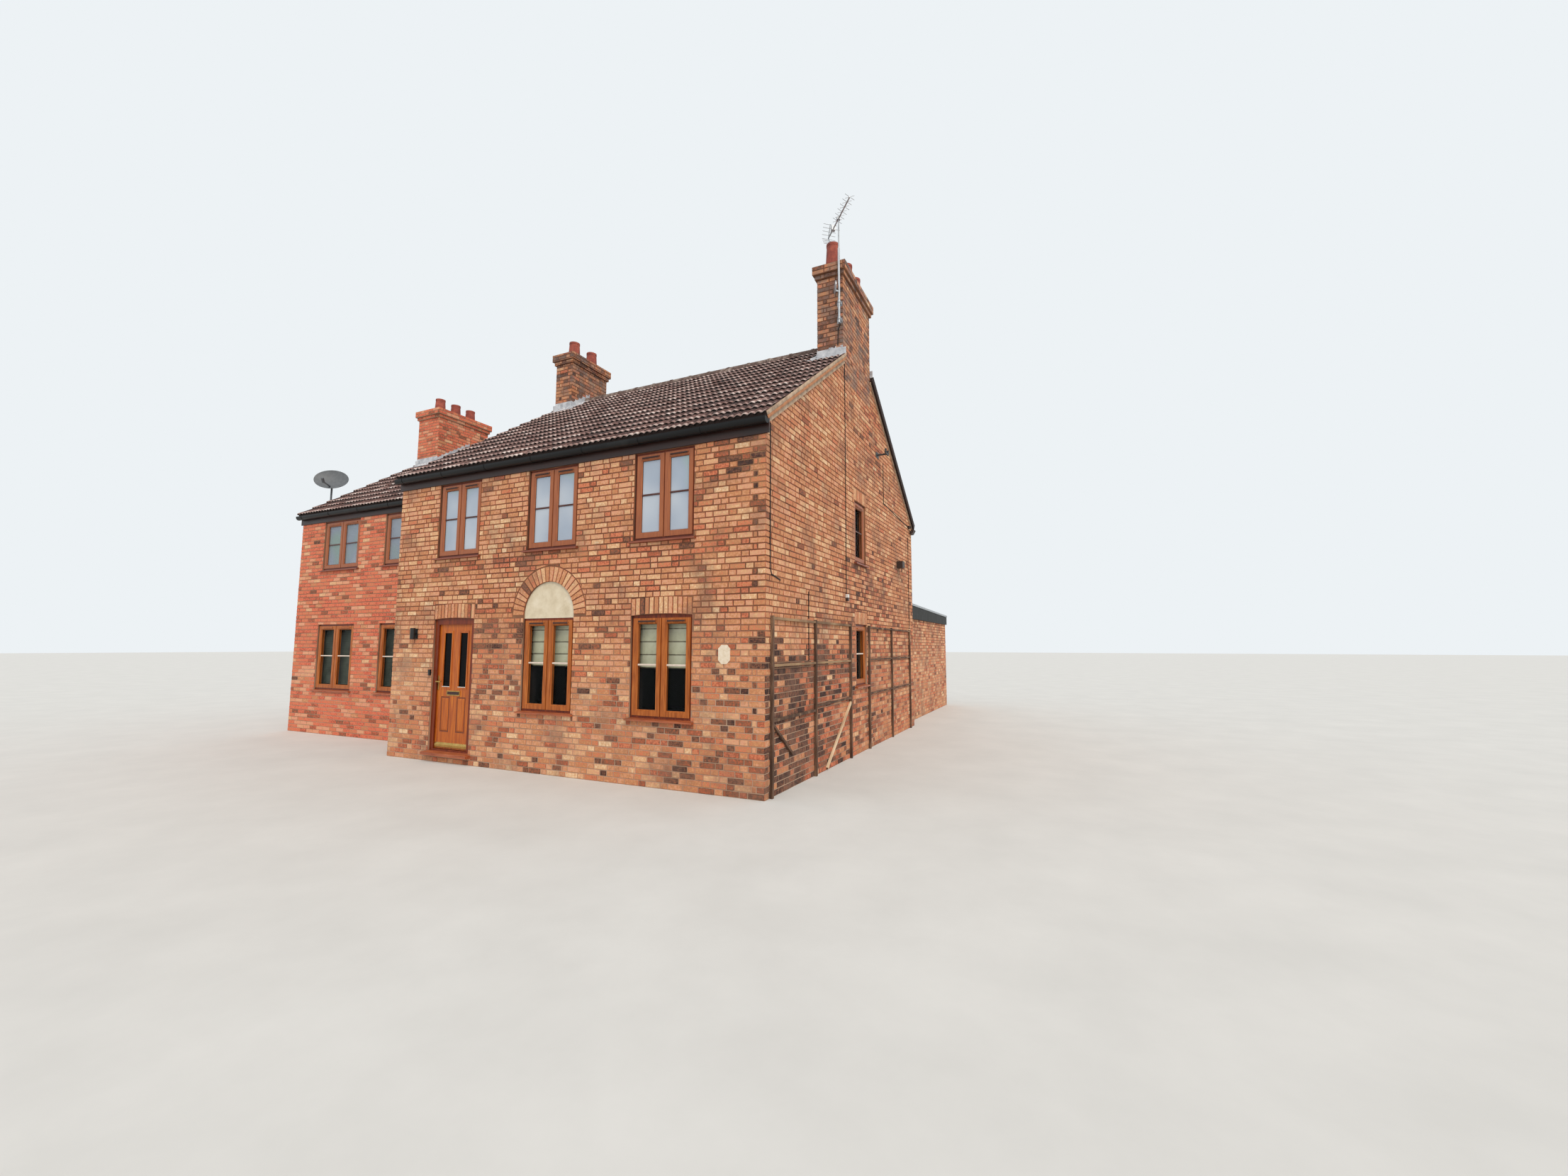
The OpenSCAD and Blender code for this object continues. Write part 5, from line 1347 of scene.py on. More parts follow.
        # only what stands over the wing's roof shows; u runs against y here
        upper.lines += [pitch.under_line(-1) for pitch in self.main]
        upper.lines.append((-RISE, -1.0, -(over.ridge_z - RISE * over.ridge_y) + self.lead_up))
        upper.holes.append(self.stacks[1].hole().mirrored)
        span = Rect(s.wing_front - grow, s.back + grow, 0, over.ridge_z)
        end = self.face((-1, 0), s.wing_left, span, Mix.WING, turn=1, **new)
        end.lines += [pitch.under_line(-1) for pitch in self.wing]
        end.holes.append(self.stacks[2].hole().mirrored)
        back = self.face((0, 1), s.back, Rect(s.wing_left - grow, s.right + grow, 0, s.eaves), Mix.GABLE)
        back.holes.append(Rect(-s.ext_right, -s.ext_left, 0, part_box("extension_roof")[1].z))
        span = Rect(s.back, s.ext_back + grow, 0, s.ext_eaves)
        ext_right = self.face((1, 0), s.ext_right, span, Mix.EXTENSION, fine=True)
        ext_left = self.face((-1, 0), s.ext_left, span, Mix.EXTENSION)
        span = Rect(s.ext_left - grow, s.ext_right + grow, 0, s.ext_eaves)
        ext_back = self.face((0, 1), s.ext_back, span, Mix.EXTENSION)
        return {"wing_front_bricks": [front], "left_gable_bricks": [strip, upper], "wing_end_bricks": [end],
                "back_bricks": [back], "extension_bricks": [ext_right, ext_left, ext_back]}

    def build(self) -> None:
        """Lays every wall and stack."""
        arched = {"front_bricks": self.lay_front, "right_gable_bricks": self.lay_gable}
        for seed, (name, lay) in enumerate(arched.items(), 1):
            work = Masonry(name, seed)
            lay(work)
            self.site.fit(work.build(), "brick")
        for seed, (name, walls) in enumerate(self.plain_faces().items(), 3):
            work = Masonry(name, seed)
            for wall in walls:
                work.lay(wall)
            self.site.fit(work.build(), "wing_brick" if name.startswith("wing") else "brick")
        for seed, stack in enumerate(self.stacks, 20):
            work = Masonry(stack.node + "_bricks", seed)
            stack.lay(work)
            self.site.fit(work.build(), stack.finish)


@dataclass
class TiledRoof:
    """Interlocking tiles with two rolls each, laid in courses on one slope."""

    name: str
    pitch: Pitch
    stacks: list[Box]  # the boxes of the stacks
    seed: int
    cover: float = 195.6 * MM  # the width of a tile that shows
    roll_h: float = 22 * MM
    gauge: float = 338 * MM  # distance between courses along the slope
    foot: float = 35.5 * MM  # height of a tile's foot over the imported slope, whose courses lie just below
    head: float = 7.5 * MM  # height of its head
    overhang: float = 20 * MM  # how far it reaches down over the next
    lip: float = 11 * MM  # thickness of its foot
    nose: float = 62 * MM  # how far the painted highlight on its end reaches
    shaded: float = 62 * MM  # how much of its head is painted in shade under the next
    ridge_free: float = 108 * MM  # what the ridge tiles cover
    segments: int = 10
    full: float = 0.8  # how much the rolls bulge; 1 is a plain wave
    lift_mm: float = 2.5  # how much higher than the next a tile may lie
    ragged_mm: float = 4  # how far its foot may be out of line
    tone: tuple[float, float] = (0.46, 0.09)  # mean and spread of the tiles' tones
    ends: tuple[float, float] = (0.2, 0.8)  # the least and the most of them
    crown: float = 0.07  # how much paler the rolls' crowns are than the pans
    near: float = 0.2  # a stack whose side is nearer than this to a verge leaves no tiles there
    least: float = 5 * MM  # pieces smaller than this are left out
    behind: float = 6 * MM  # how far a head reaches under the next course

    # Tone from head to foot: painted shade under the next course, weathered face, painted highlight on the
    # nose and the lip, and painted shade behind
    SHADES = (-0.4, -0.14, 0.3, 0.42, -0.9)

    def holes(self) -> list[Rect]:
        """Works out where the stacks stand through, in x and along the slope.

        Returns:
            The rectangles without tiles.
        """
        p = self.pitch
        found = []
        for low, high in self.stacks:
            x0, x1 = low.x + Stack.inward, high.x - Stack.inward
            ends = sorted((p.along(low.y + Stack.inward), p.along(high.y - Stack.inward)))
            if ends[0] > p.along(p.ridge_y) or ends[1] < 0:
                continue
            if x1 < p.x0 + self.near / 2 or x0 > p.x1 - self.near / 2:
                continue
            x0, x1 = -FAR if x0 < p.x0 + self.near else x0, FAR if x1 > p.x1 - self.near else x1
            found.append(Rect(x0, x1, *ends))
        return found

    def pieces(self) -> list[tuple[Rect, float]]:
        """Sets the tiles out in x and along the slope, cut at the stacks.

        Returns:
            The rectangle of each tile, and where its course starts.
        """
        p = self.pitch
        end = p.along(p.ridge_y - p.away * self.ridge_free)
        columns = round((p.x1 - p.x0) / self.cover)
        found = []
        for row in range(math.ceil(end / self.gauge)):
            course = row * self.gauge
            head = min(end, course + self.gauge + self.behind)
            for column in range(columns):
                left = p.x0 + column * self.cover
                right = p.x1 if column == columns - 1 else left + self.cover
                parts = [Rect(left, right, course - self.overhang, head)]
                for hole in self.holes():
                    parts = [left_over for part in parts for left_over in part.minus(hole, self.least)]
                found += [(part, course) for part in parts]
        return found

    def build(self) -> Object:
        """Joins the tiles in one mesh.

        Returns:
            The piece.
        """
        p, tiles, n = self.pitch, self.pieces(), self.segments + 1
        chance = random.Random(SEED * 77 + self.seed)
        u0, u1, s0, s1 = (
            np.array([getattr(tile, side) for tile, _ in tiles])[:, None] for side in ("u0", "u1", "z0", "z1")
        )
        course = np.array([start for _, start in tiles])[:, None]
        x = u0 + (u1 - u0) * np.linspace(0, 1, n)[None, :]
        roll = (0.5 - 0.5 * np.cos(2 * math.pi * (x - p.x0) / (self.cover / 2))) ** self.full
        wave = self.roll_h * roll
        lift = np.array([chance.uniform(0, self.lift_mm) * MM for _ in tiles])[:, None]
        ragged = np.array([chance.uniform(-self.ragged_mm, self.ragged_mm) * MM for _ in tiles])[:, None]
        foot = s0 + ragged * (s0 < course)
        slant = (self.foot - self.head) / self.gauge
        shaded = np.clip(course + self.gauge - self.shaded, foot, s1)
        nose = np.clip(foot + self.nose, foot, shaded)
        rows = [(s, wave + self.foot - slant * (s - course) + lift) for s in (s1, shaded, nose, foot)]
        rows.append((foot + 2 * MM, rows[3][1] - self.lip))
        rows.append((foot + self.overhang + 2 * MM, wave + self.head - 3 * MM + 0 * lift))
        edge_z = p.height(p.edge_y)
        block = np.concatenate([
            np.stack([x, p.edge_y + p.away * (s * COS - h * SIN), edge_z + s * SIN + h * COS], -1)
            for s, h in ((s + 0 * x, h) for s, h in rows)
        ], 1)
        base = np.array([min(self.ends[1], max(self.ends[0], chance.gauss(*self.tone))) for _ in tiles])
        offsets = np.arange(len(tiles))[:, None] * block.shape[1]
        faces, tones = [], []
        for strip, shade in enumerate(self.SHADES):
            for i in range(n - 1):
                upper, lower = strip * n + i, (strip + 1) * n + i
                side = [lower, lower + 1, upper + 1, upper]
                faces += (offsets + np.array(side if p.away > 0 else side[::-1])[None, :]).tolist()
                # the rolls' crowns are painted paler than the pans between them
                crown = self.crown * (roll[:, i] + roll[:, i + 1] - 1) if strip < 3 else 0.0
                tones.append(np.clip(base + shade + crown, 0, 1))
        for i in (0, n - 1):
            side = [k * n + i for k in range(len(rows))]
            if (i == 0) == (p.away > 0):
                side.reverse()
            faces += (offsets + np.array(side)[None, :]).tolist()
            tones.append(base)
        piece = joined_mesh(self.name, block.reshape(-1, 3), faces, np.concatenate(tones))
        Bench.leave()
        piece.select_set(True)
        bpy.context.view_layer.objects.active = piece
        bpy.ops.object.shade_smooth_by_angle(angle=math.radians(50))
        return piece


@dataclass(frozen=True)
class DressedLead:
    """Lead sheets beaten down over the tiles round a stack, and turned up it."""

    width: float = 150 * MM  # how far a sheet reaches from the stack
    apron: float = 135 * MM  # how far the front sheet reaches down the slope, measured flat
    thickness: float = 2.5 * MM
    step: float = 12 * MM  # size of the net that is beaten down
    seam: float = 6 * MM  # gap between a sheet and the stack or verge
    rise: float = 135 * MM  # how far it is turned up the stack
    clear: float = 11 * MM  # how far the turned-up lead stands out of the stack
    fold: float = 3 * MM  # its thickness there
    over: float = 5 * MM  # height of the sheets over the tiles
    start: float = 12.0  # height over the roofs from which they are beaten down
    wider: float = 1.5  # how much further than the side sheets the apron reaches
    ease: float = 0.4  # how much the blows even out
    foot_up: float = 20 * MM  # height of the turned-up lead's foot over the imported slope
    below: float = 1.1  # where a side sheet ends under the ridge, as a share of what its tiles cover

    def sheet(self, name: str, area: Rect, tiles: Object, point: float = 0.0) -> Object:
        """Beats one sheet down on the tiles.

        Args:
            name: The piece's name.
            area: What it covers in plan.
            tiles: The tiles below it.
            point: How far its lower corners are cut back.

        Returns:
            The sheet.
        """
        width, depth = area.u1 - area.u0, area.z1 - area.z0
        across, down = (max(2, round(side / self.step)) for side in (width, depth))
        bench = Bench(name, (width, depth, 1), (across, down))
        middle = Vector(((area.u0 + area.u1) / 2, (area.z0 + area.z1) / 2, self.start))
        bench.piece.data.transform(Matrix.Translation(middle))
        if point:
            bpy.ops.object.mode_set(mode="EDIT")
            for side in (-1, 1):
                bpy.ops.mesh.select_all(action="SELECT")
                corner = middle + Vector((side * (width / 2 - point), -depth / 2, 0))
                outward = Vector((side * depth, -point, 0)).normalized()
                bpy.ops.mesh.bisect(plane_co=corner, plane_no=outward, clear_outer=True)
        bench.modify("SHRINKWRAP", target=tiles, wrap_method="PROJECT", use_project_z=True,
                     use_negative_direction=True, use_positive_direction=False, offset=self.over)
        # what found no tile below stays up and is cut away
        bench.pick(lambda corner: corner.co.z > middle.z - 1, "VERT")
        bpy.ops.mesh.delete(type="VERT")
        bench.modify("SMOOTH", factor=self.ease, iterations=2)
        return bench.modify("SOLIDIFY", thickness=self.thickness, offset=1.0).smooth(40).done()

    def upstands(self, pitch: Pitch, xs: tuple[float, float], ys: tuple[float, float],
                 free: tuple[bool, bool]) -> list[Object]:
        """Turns the lead up the stack's front and sides.

        Args:
            pitch: The slope.
            xs: The stack's left and right face.
            ys: Its foot on the slope, and the end of its side.
            free: Whether its left and right side stand free.

        Returns:
            The pieces.
        """
        middle_z = pitch.height(ys[0]) + self.foot_up + self.rise / 2
        out, depth = self.clear - self.seam, abs(ys[1] - ys[0])
        at = Matrix.Translation(((xs[0] + xs[1]) / 2, ys[0] - pitch.away * out, middle_z))
        size = (xs[1] - xs[0] + 2 * self.fold, self.fold, self.rise)
        made = [Bench("upstand", size).bevel(1 * MM).done(at)]
        for is_free, x in zip(free, (xs[0] - out, xs[1] + out)):
            if is_free:
                bench = Bench("side_upstand", (self.fold, depth, self.rise))
                bench.pick(lambda corner: corner.co.y * pitch.away > 0, "VERT")
                bpy.ops.transform.translate(value=(0, 0, depth * RISE))
                at = Matrix.Translation((x, (ys[0] + ys[1]) / 2, middle_z))
                made.append(bench.bevel(1 * MM).done(at))
        return made

    def build(self, site: Site, roof: TiledRoof, tiles: Object) -> None:
        """Dresses lead round every stack that stands in a slope.

        Args:
            site: The house.
            roof: The slope.
            tiles: Its tiles.
        """
        p = roof.pitch
        for number, hole in enumerate(roof.holes(), 1):
            ys = [p.edge_y + p.away * s * COS for s in (hole.z0, hole.z1)]
            foot = ys[0] - p.away * self.seam
            top = ys[1]
            if hole.z1 >= p.along(p.ridge_y):
                top = p.ridge_y - p.away * roof.ridge_free * self.below
            out = foot - p.away * self.apron
            x0, x1 = max(hole.u0, p.x0) - self.seam, min(hole.u1, p.x1) + self.seam
            free = (hole.u0 > p.x0, hole.u1 < p.x1)
            left = x0 - self.width * self.wider if free[0] else p.x0 + self.seam
            right = x1 + self.width * self.wider if free[1] else p.x1 - self.seam
            apron = Rect(left, right, min(foot, out), max(foot, out))
            name = f"{tiles.name}_lead_{number}"
            made = [self.sheet(name, apron, tiles, self.width if p.away > 0 else 0.0)]
            for is_free, a, b in zip(free, (x0 - self.width, x1), (x0, x1 + self.width)):
                if is_free:
                    made.append(self.sheet(name, Rect(a, b, min(foot, top), max(foot, top)), tiles))
            made += self.upstands(p, (x0, x1), (foot, top), free)
            for order, sheet in enumerate(made):
                sheet.name = f"{name}_{'side' if order else 'apron'}_{order}"
                site.fit(sheet, "lead")


@dataclass(frozen=True)
class Verge:
    """What closes the tiles' ends over a gable: rough mortar, or a board."""

    name: str
    finish: str
    thick: float  # how far it stands out of the slope's side
    deep: float  # its depth, square to the slope
    rough: float  # how uneven the trowel or the saw left it
    step: float = 45 * MM  # length of the stretches that are uneven on their own
    top: float = TiledRoof.foot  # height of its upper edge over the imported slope

    def build(self, site: Site, pitch: Pitch, end_y: float) -> None:
        """Closes the right-hand verge from the eaves to a stack.

        Args:
            site: The house.
            pitch: The slope.
            end_y: Where it ends.
        """
        away = pitch.away
        length = abs(end_y - pitch.edge_y) / COS
        bench = Bench(self.name, (self.thick, length, self.deep))
        inner = length / 2 - 1 * MM
        bench.roughen(length, self.step, self.rough, lambda c: c.co.x > 0 and abs(c.co.y) < inner)
        foot = Vector((pitch.x1 + self.thick / 2, pitch.edge_y, pitch.height(pitch.edge_y)))
        along, up = Vector((0, away * COS, SIN)), Vector((0, -away * SIN, COS))
        middle = foot + along * length / 2 + up * (self.top - self.deep / 2)
        turn = Matrix.Rotation(away * ROOF_PITCH, 4, "X")
        piece = bench.bevel(1.5 * MM).smooth(50).done(Matrix.Translation(middle) @ turn)
        site.fit(piece, self.finish)


@dataclass(frozen=True)
class Light:
    """One glazed light of a window."""

    middle: Vector  # the middle of its glass
    width: float
    height: float
    turn: float  # how far its wall is turned from the front, in radians

    @classmethod
    def read(cls, solid: Solid) -> "Light":
        """Reads a light from its packed pane.

        Args:
            solid: The pane.

        Returns:
            The light.
        """
        size = solid.size
        if size.x < size.y:
            return cls(solid.middle, size.y, size.z, math.pi / 2)
        return cls(solid.middle, size.x, size.z, 0.0 if solid.low.y < 0 else math.pi)

    @property
    def rounded(self) -> tuple[float, float]:
        """The size that it shares with like lights."""
        return round(self.width, 3), round(self.height, 3)

    def at(self, out: float, lift: float = 0.0) -> Matrix:
        """Puts what faces -y in front of the glass, out from its middle and up."""
        turned = Matrix.Translation(self.middle) @ Matrix.Rotation(self.turn, 4, "Z")
        return turned @ Matrix.Translation(Vector((0, -out, lift)))


@dataclass(frozen=True)
class WindowTrim:
    """Glazing beads, bars, gaskets, vent hoods and sealant of the windows, the sealant also carrying painted
    shade round the frames.
    """

    bead_w: float = 15 * MM
    bead_d: float = 26 * MM  # how far a bead stands out of the glass
    bar_h: float = 24 * MM
    gasket: float = 4 * MM  # width of the black seal
    bar_share: float = 0.52  # height of the bar as a share of the light
    glass_t: float = 24 * MM  # thickness of a sealed unit
    hood_rim: float = 100 * MM  # how much wider a sash is than its glass
    hood_share: float = 0.68  # width of a hood as a share of the sash
    hood_h: float = 24 * MM
    joint: tuple[float, float] = (11 * MM, 6 * MM)  # width and depth of the sealant, a dark strip that is painted shade too
    slope: float = 0.62  # how far a bead's inner edge falls back, as a share of its depth
    play: float = 0.5 * MM  # gap between the glass and a bead
    seal_d: float = 3 * MM
    seal_out: float = 1.6 * MM  # distance of a seal's middle from the glass
    bar_d: float = 9 * MM
    bar_out: float = 5 * MM  # distance of a bar's middle from the glass
    bar_edge: tuple[float, float] = (5 * MM, 4 * MM)  # width and depth of its sloping edges
    bar_in: float = 0.8  # how far it reaches under the beads, as a share of their width
    hood_over: float = 6 * MM  # how much wider a hood's foot is than its face
    hood_d: float = 16 * MM
    hood_in: float = 6 * MM  # how far its middle lies behind the sash's front
    hood_face: tuple[float, float] = (0.94, 0.7)  # width and height of its face as shares of its foot
    hood_drop: float = 2 * MM  # how far the face hangs
    joint_lap: float = 2 * MM  # how far the sealant lies over the frame
    joint_out: float = 1 * MM  # how far its middle lies before the frame
    soft: float = 0.6 * MM  # width of the softened edges of seals and sealant

    def bead(self, width: float, height: float) -> Object:
        """Models a bead round a light, whose outer face slopes back towards the glass.

        Args:
            width: Width of the glass.
            height: Height of the glass.

        Returns:
            The bead, round the origin.
        """
        half_x, half_z = (width - self.bead_w) / 2, (height - self.bead_w) / 2
        bench = Bench("bead", (width, self.bead_d, height)).ring(self.bead_w)
        bench.pick(lambda c: c.co.y < 0 and abs(c.co.x) < half_x and abs(c.co.z) < half_z, "VERT")
        bpy.ops.transform.translate(value=(0, self.bead_d * self.slope, 0))
        return bench.bevel(1.2 * MM).done()

    def build(self, site: Site) -> None:
        """Fits every window.

        Args:
            site: The house.
        """
        for prefix, node in (("main", "window_glass"), ("wing", "wing_window_glass")):
            lights = [Light.read(solid) for solid in site.solids(node)]
            for number, (width, height) in enumerate(sorted({light.rounded for light in lights}), 1):
                same = [light for light in lights if light.rounded == (width, height)]
                face = self.glass_t / 2
                moves = [light.at(face + self.bead_d / 2 + self.play) for light in same]
                site.repeat(self.bead(width, height), f"{prefix}_beads_{number}", moves, "sash")
                moves = [light.at(face + self.seal_out) for light in same]
                seal = Bench("seal", (width, self.seal_d, height)).ring(self.bead_w + self.gasket)
                site.repeat(seal.bevel(self.soft).done(), f"{prefix}_seals_{number}", moves, "seal")
                bar = Bench("bar", (width - self.bar_in * self.bead_w, self.bar_d, self.bar_h))
                bar.front(inset=self.bar_edge[0], move=(0, -self.bar_edge[1], 0)).bevel(0.8 * MM)
                moves = [light.at(face + self.bar_out, (self.bar_share - 0.5) * height) for light in same]
                finish = "high_bar" if same[0].middle.z > Foil.storey else "low_bar"
                site.repeat(bar.done(), f"{prefix}_bars_{number}", moves, finish)
        self.hoods(site)
        self.sealant(site)

    def sealant(self, site: Site) -> None:
        """Runs a dark sealant joint, also painted shade round the frame, down both sides of every window that
        faces the front.

        Args:
            site: The house.
        """
        for node in ("window_frames", "wing_window_frames"):
            solids = [s for s in site.solids(node) if s.size.x > s.size.y and Light.read(s).turn == 0]
            for number, height in enumerate(sorted({round(s.size.z, 2) for s in solids}), 1):
                same = [s for s in solids if round(s.size.z, 2) == height]
                model = Bench("sealant", (*self.joint, height)).front(inset=2 * MM, depth=-2 * MM)
                moves = [
                    Matrix.Translation((x, s.low.y - self.joint_out, s.middle.z))
                    for s in same for x in (s.low.x + self.joint_lap, s.high.x - self.joint_lap)
                ]
                site.repeat(model.bevel(self.soft).done(), f"{node}_sealant_{number}", moves, "sealant")

    def hoods(self, site: Site) -> None:
        """Sets the dark vent hoods on the top rails of the main front's sashes.

        Args:
            site: The house.
        """
        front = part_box("window_sashes")[0].y
        lights = [light for light in map(Light.read, site.solids("window_glass")) if light.turn == 0]
        for number, width in enumerate(sorted({round(light.width, 3) for light in lights}), 1):
            same = [light for light in lights if round(light.width, 3) == width]
            size = ((width + self.hood_rim) * self.hood_share + self.hood_over, self.hood_d, self.hood_h)
            wide, high = self.hood_face
            model = Bench("hood", size).front(scale=(wide, 1, high), move=(0, 0, -self.hood_drop))
            tops = [(light.middle.x, light.middle.z + light.height / 2) for light in same]
            moves = [Matrix.Translation((x, front + self.hood_in, top + self.hood_h)) for x, top in tops]
            site.repeat(model.bevel(2 * MM).done(), f"vent_hoods_{number}", moves, "hood")


@dataclass(frozen=True)
class Blinds:
    """Folded cloth blinds in the main block and slatted ones in the wing."""

    folds: int = 4  # how many folds a cloth blind hangs in
    per_fold: int = 12  # how many rows of faces each has
    sag: float = 16 * MM  # how far a fold stands out
    crease: float = 0.93  # share of a fold after which the cloth doubles back
    margin: float = 60 * MM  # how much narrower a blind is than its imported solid
    cloth_t: float = 1.2 * MM
    slat: float = 25 * MM
    slat_pitch: float = 21 * MM
    slat_tilt: float = math.radians(52)
    slat_top: float = 30 * MM  # how far the first slat hangs below the top
    slat_foot: float = 10 * MM  # how much lower than the last slat a blind ends
    slat_t: float = 0.8 * MM
    slat_crown: float = 2.5 * MM  # how far a slat's middle is raised
    columns: int = 12  # how many faces a cloth blind has across
    rest: float = 0.15  # how far the cloth stands out at a fold's top, as a share of the sag
    belly: float = 2.2  # how low in the fold it bulges
    back: float = 10  # how fast it doubles back
    play: float = 4 * MM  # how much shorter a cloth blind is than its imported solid
    ripple: float = 1.5 * MM  # height of the cloth's slight waves
    dim_from: float = 0.88  # share of a fold after which the cloth is in shade
    tones: Triple = (0.05, 0.85, 0.3)  # painted shade there, painted light at a fold's top, and how much darker it is painted below

    def profile(self, down: float, height: float) -> tuple[float, float]:
        """Works out the cloth's line from top to foot.

        Args:
            down: Share of the way down.
            height: Height of the blind.

        Returns:
            How far the cloth stands out and how far it has dropped.
        """
        fold = down * self.folds
        part = fold - math.floor(fold) if down < 1 else 1.0
        if part < self.crease:
            return self.sag * (self.rest + (1 - self.rest) * part**self.belly), down * height
        return self.sag * (1.0 - (part - self.crease) * self.back), down * height

    def roman(self, name: str, solid: Solid) -> tuple[Object, float]:
        """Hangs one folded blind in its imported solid's space.

        Args:
            name: The piece's name.
            solid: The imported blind.

        Returns:
            The blind and the length of its cloth.
        """
        rows = self.folds * self.per_fold
        bench = Bench(name, (1, 1, 1), (self.columns, rows))
        mesh = bench.piece.data
        width, height = solid.size.x - self.margin, solid.size.z - self.play
        spots = [self.profile(step / rows, height) for step in range(rows + 1)]
        length = sum(math.hypot(b[0] - a[0], b[1] - a[1]) for a, b in zip(spots, spots[1:]))
        # the cloth is in shade where it doubles back under a fold
        parts = [(0.5 - face.center.y) * self.folds % 1 for face in mesh.polygons]
        dim, pale, fade = self.tones
        tones = [dim if part > self.dim_from else pale - fade * part for part in parts]
        mesh.attributes.new("tone", "FLOAT", "FACE").data.foreach_set("value", tones)
        for corner in mesh.vertices:
            across, down = corner.co.x, 0.5 - corner.co.y
            out, drop = self.profile(down, height)
            y = solid.middle.y - out + self.sag / 2 + self.ripple * math.sin(across * 9 + down * 5)
            corner.co = Vector((solid.middle.x + across * width, y, solid.high.z - self.play / 2 - drop))
        bpy.ops.object.shade_smooth()
        return bench.modify("SOLIDIFY", thickness=self.cloth_t).done(), length

    def build(self, site: Site) -> None:
        """Hangs all blinds.

        Args:
            site: The house.
        """
        solids = site.solids("window_blinds")
        left = site.shell.left
        for number, solid in enumerate([s for s in solids if s.middle.x > left], 1):
            piece, length = self.roman(f"folded_blind_{number}", solid)
            site.fit(piece, "blind", nodes=("window_blinds",))
        wing = [s for s in solids if s.middle.x < left]
        bench = Bench("slat", (wing[0].size.x - self.margin, self.slat, self.slat_t))
        bench.pick(lambda face: abs(face.normal.z) > 0.5)
        bpy.ops.mesh.subdivide(number_cuts=1)
        bench.pick(lambda corner: abs(corner.co.y) < self.slat / 8, "VERT")
        bpy.ops.transform.translate(value=(0, 0, self.slat_crown))
        tilt = Matrix.Rotation(self.slat_tilt, 4, "X")
        ends, pitch = self.slat_top + self.slat_foot, self.slat_pitch
        moves = [
            Matrix.Translation((s.middle.x, s.middle.y, s.high.z - self.slat_top - i * pitch)) @ tilt
            for s in wing for i in range(int((s.size.z - ends) / pitch))
        ]
        site.repeat(bench.done(), "slatted_blinds", moves, "slats", nodes=("window_blinds",))


@dataclass(frozen=True)
class DoorTrim:
    """Beads and drip bars of the door's lights, its panels' mouldings and the letter flap."""

    bead_w: float = 12 * MM
    bead_over: float = 8 * MM  # how much wider a bead is than its light
    bead_in: float = 14 * MM  # how far its back lies behind the leaf's front
    stand: float = 9 * MM  # how far it stands out
    drip: tuple[float, float] = (8 * MM, 12 * MM)  # depth and height of a drip bar
    drip_nose: tuple[float, float] = (0.97, 0.5)  # length and height of its front as shares
    drip_out: float = 3 * MM  # how far its middle lies before the leaf
    panel_low: float = 0.255  # lower edge of the panels over the leaf's foot
    panel_high: float = 0.8  # their upper edge
    panel_wider: float = 28 * MM  # how much wider a panel is than a light
    panel_in: float = 9 * MM  # how far its moulding lies behind the leaf's front
    groove: float = 20 * MM  # width of the moulding
    groove_d: float = 7 * MM  # its depth
    groove_edge: tuple[float, float] = (5 * MM, 3 * MM)  # width and depth of its hollow
    flap: Triple = (0.262, 5 * MM, 46 * MM)
    flap_edge: tuple[float, float] = (6 * MM, 1.5 * MM)  # width and depth of the sunk middle's edge
    flap_drop: float = 1.08  # how far the letter flap hangs below the leaf's top
    flap_out: float = 3.5 * MM  # how far its middle lies before the leaf

    def build(self, site: Site) -> None:
        """Fits the door.

        Args:
            site: The house.
        """
        low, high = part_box("door_leaf")
        panes = site.solids("door_glass")
        size = panes[0].size
        bead_size = (size.x + self.bead_over, self.stand, size.z + self.bead_over)
        bead = Bench("door_bead", bead_size).ring(self.bead_w).bevel(3 * MM, 3).done()
        y = low.y + self.bead_in - self.stand / 2
        moves = [Matrix.Translation((p.middle.x, y, p.middle.z)) for p in panes]
        site.repeat(bead, "door_light_beads", moves, "door", DOOR)
        long, high_share = self.drip_nose
        drip = Bench("drip", (size.x, *self.drip)).front(scale=(long, 1, high_share)).bevel(1.5 * MM, 2)
        lift = self.drip[1] / 2
        moves = [Matrix.Translation((p.middle.x, low.y - self.drip_out, p.low.z + lift)) for p in panes]
        site.repeat(drip.done(), "door_drip_bars", moves, "drip", DOOR)
        panel = (size.x + self.panel_wider, self.groove_d, self.panel_high - self.panel_low)
        bench = Bench("moulding", panel)
        inset, depth = self.groove_edge
        model = bench.ring(self.groove).front(inset=inset, depth=-depth).bevel(1 * MM).done()
        z = low.z + (self.panel_low + self.panel_high) / 2
        moves = [Matrix.Translation((p.middle.x, low.y + self.panel_in, z)) for p in panes]
        site.repeat(model, "door_panel_mouldings", moves, "groove", DOOR)
        at = Matrix.Translation(((low.x + high.x) / 2, low.y - self.flap_out, high.z - self.flap_drop))
        inset, depth = self.flap_edge
        flap = Bench("letter_flap", self.flap).front(inset=inset, depth=-depth).bevel(1 * MM, 2).done(at)
        site.fit(flap, "flap", DOOR)


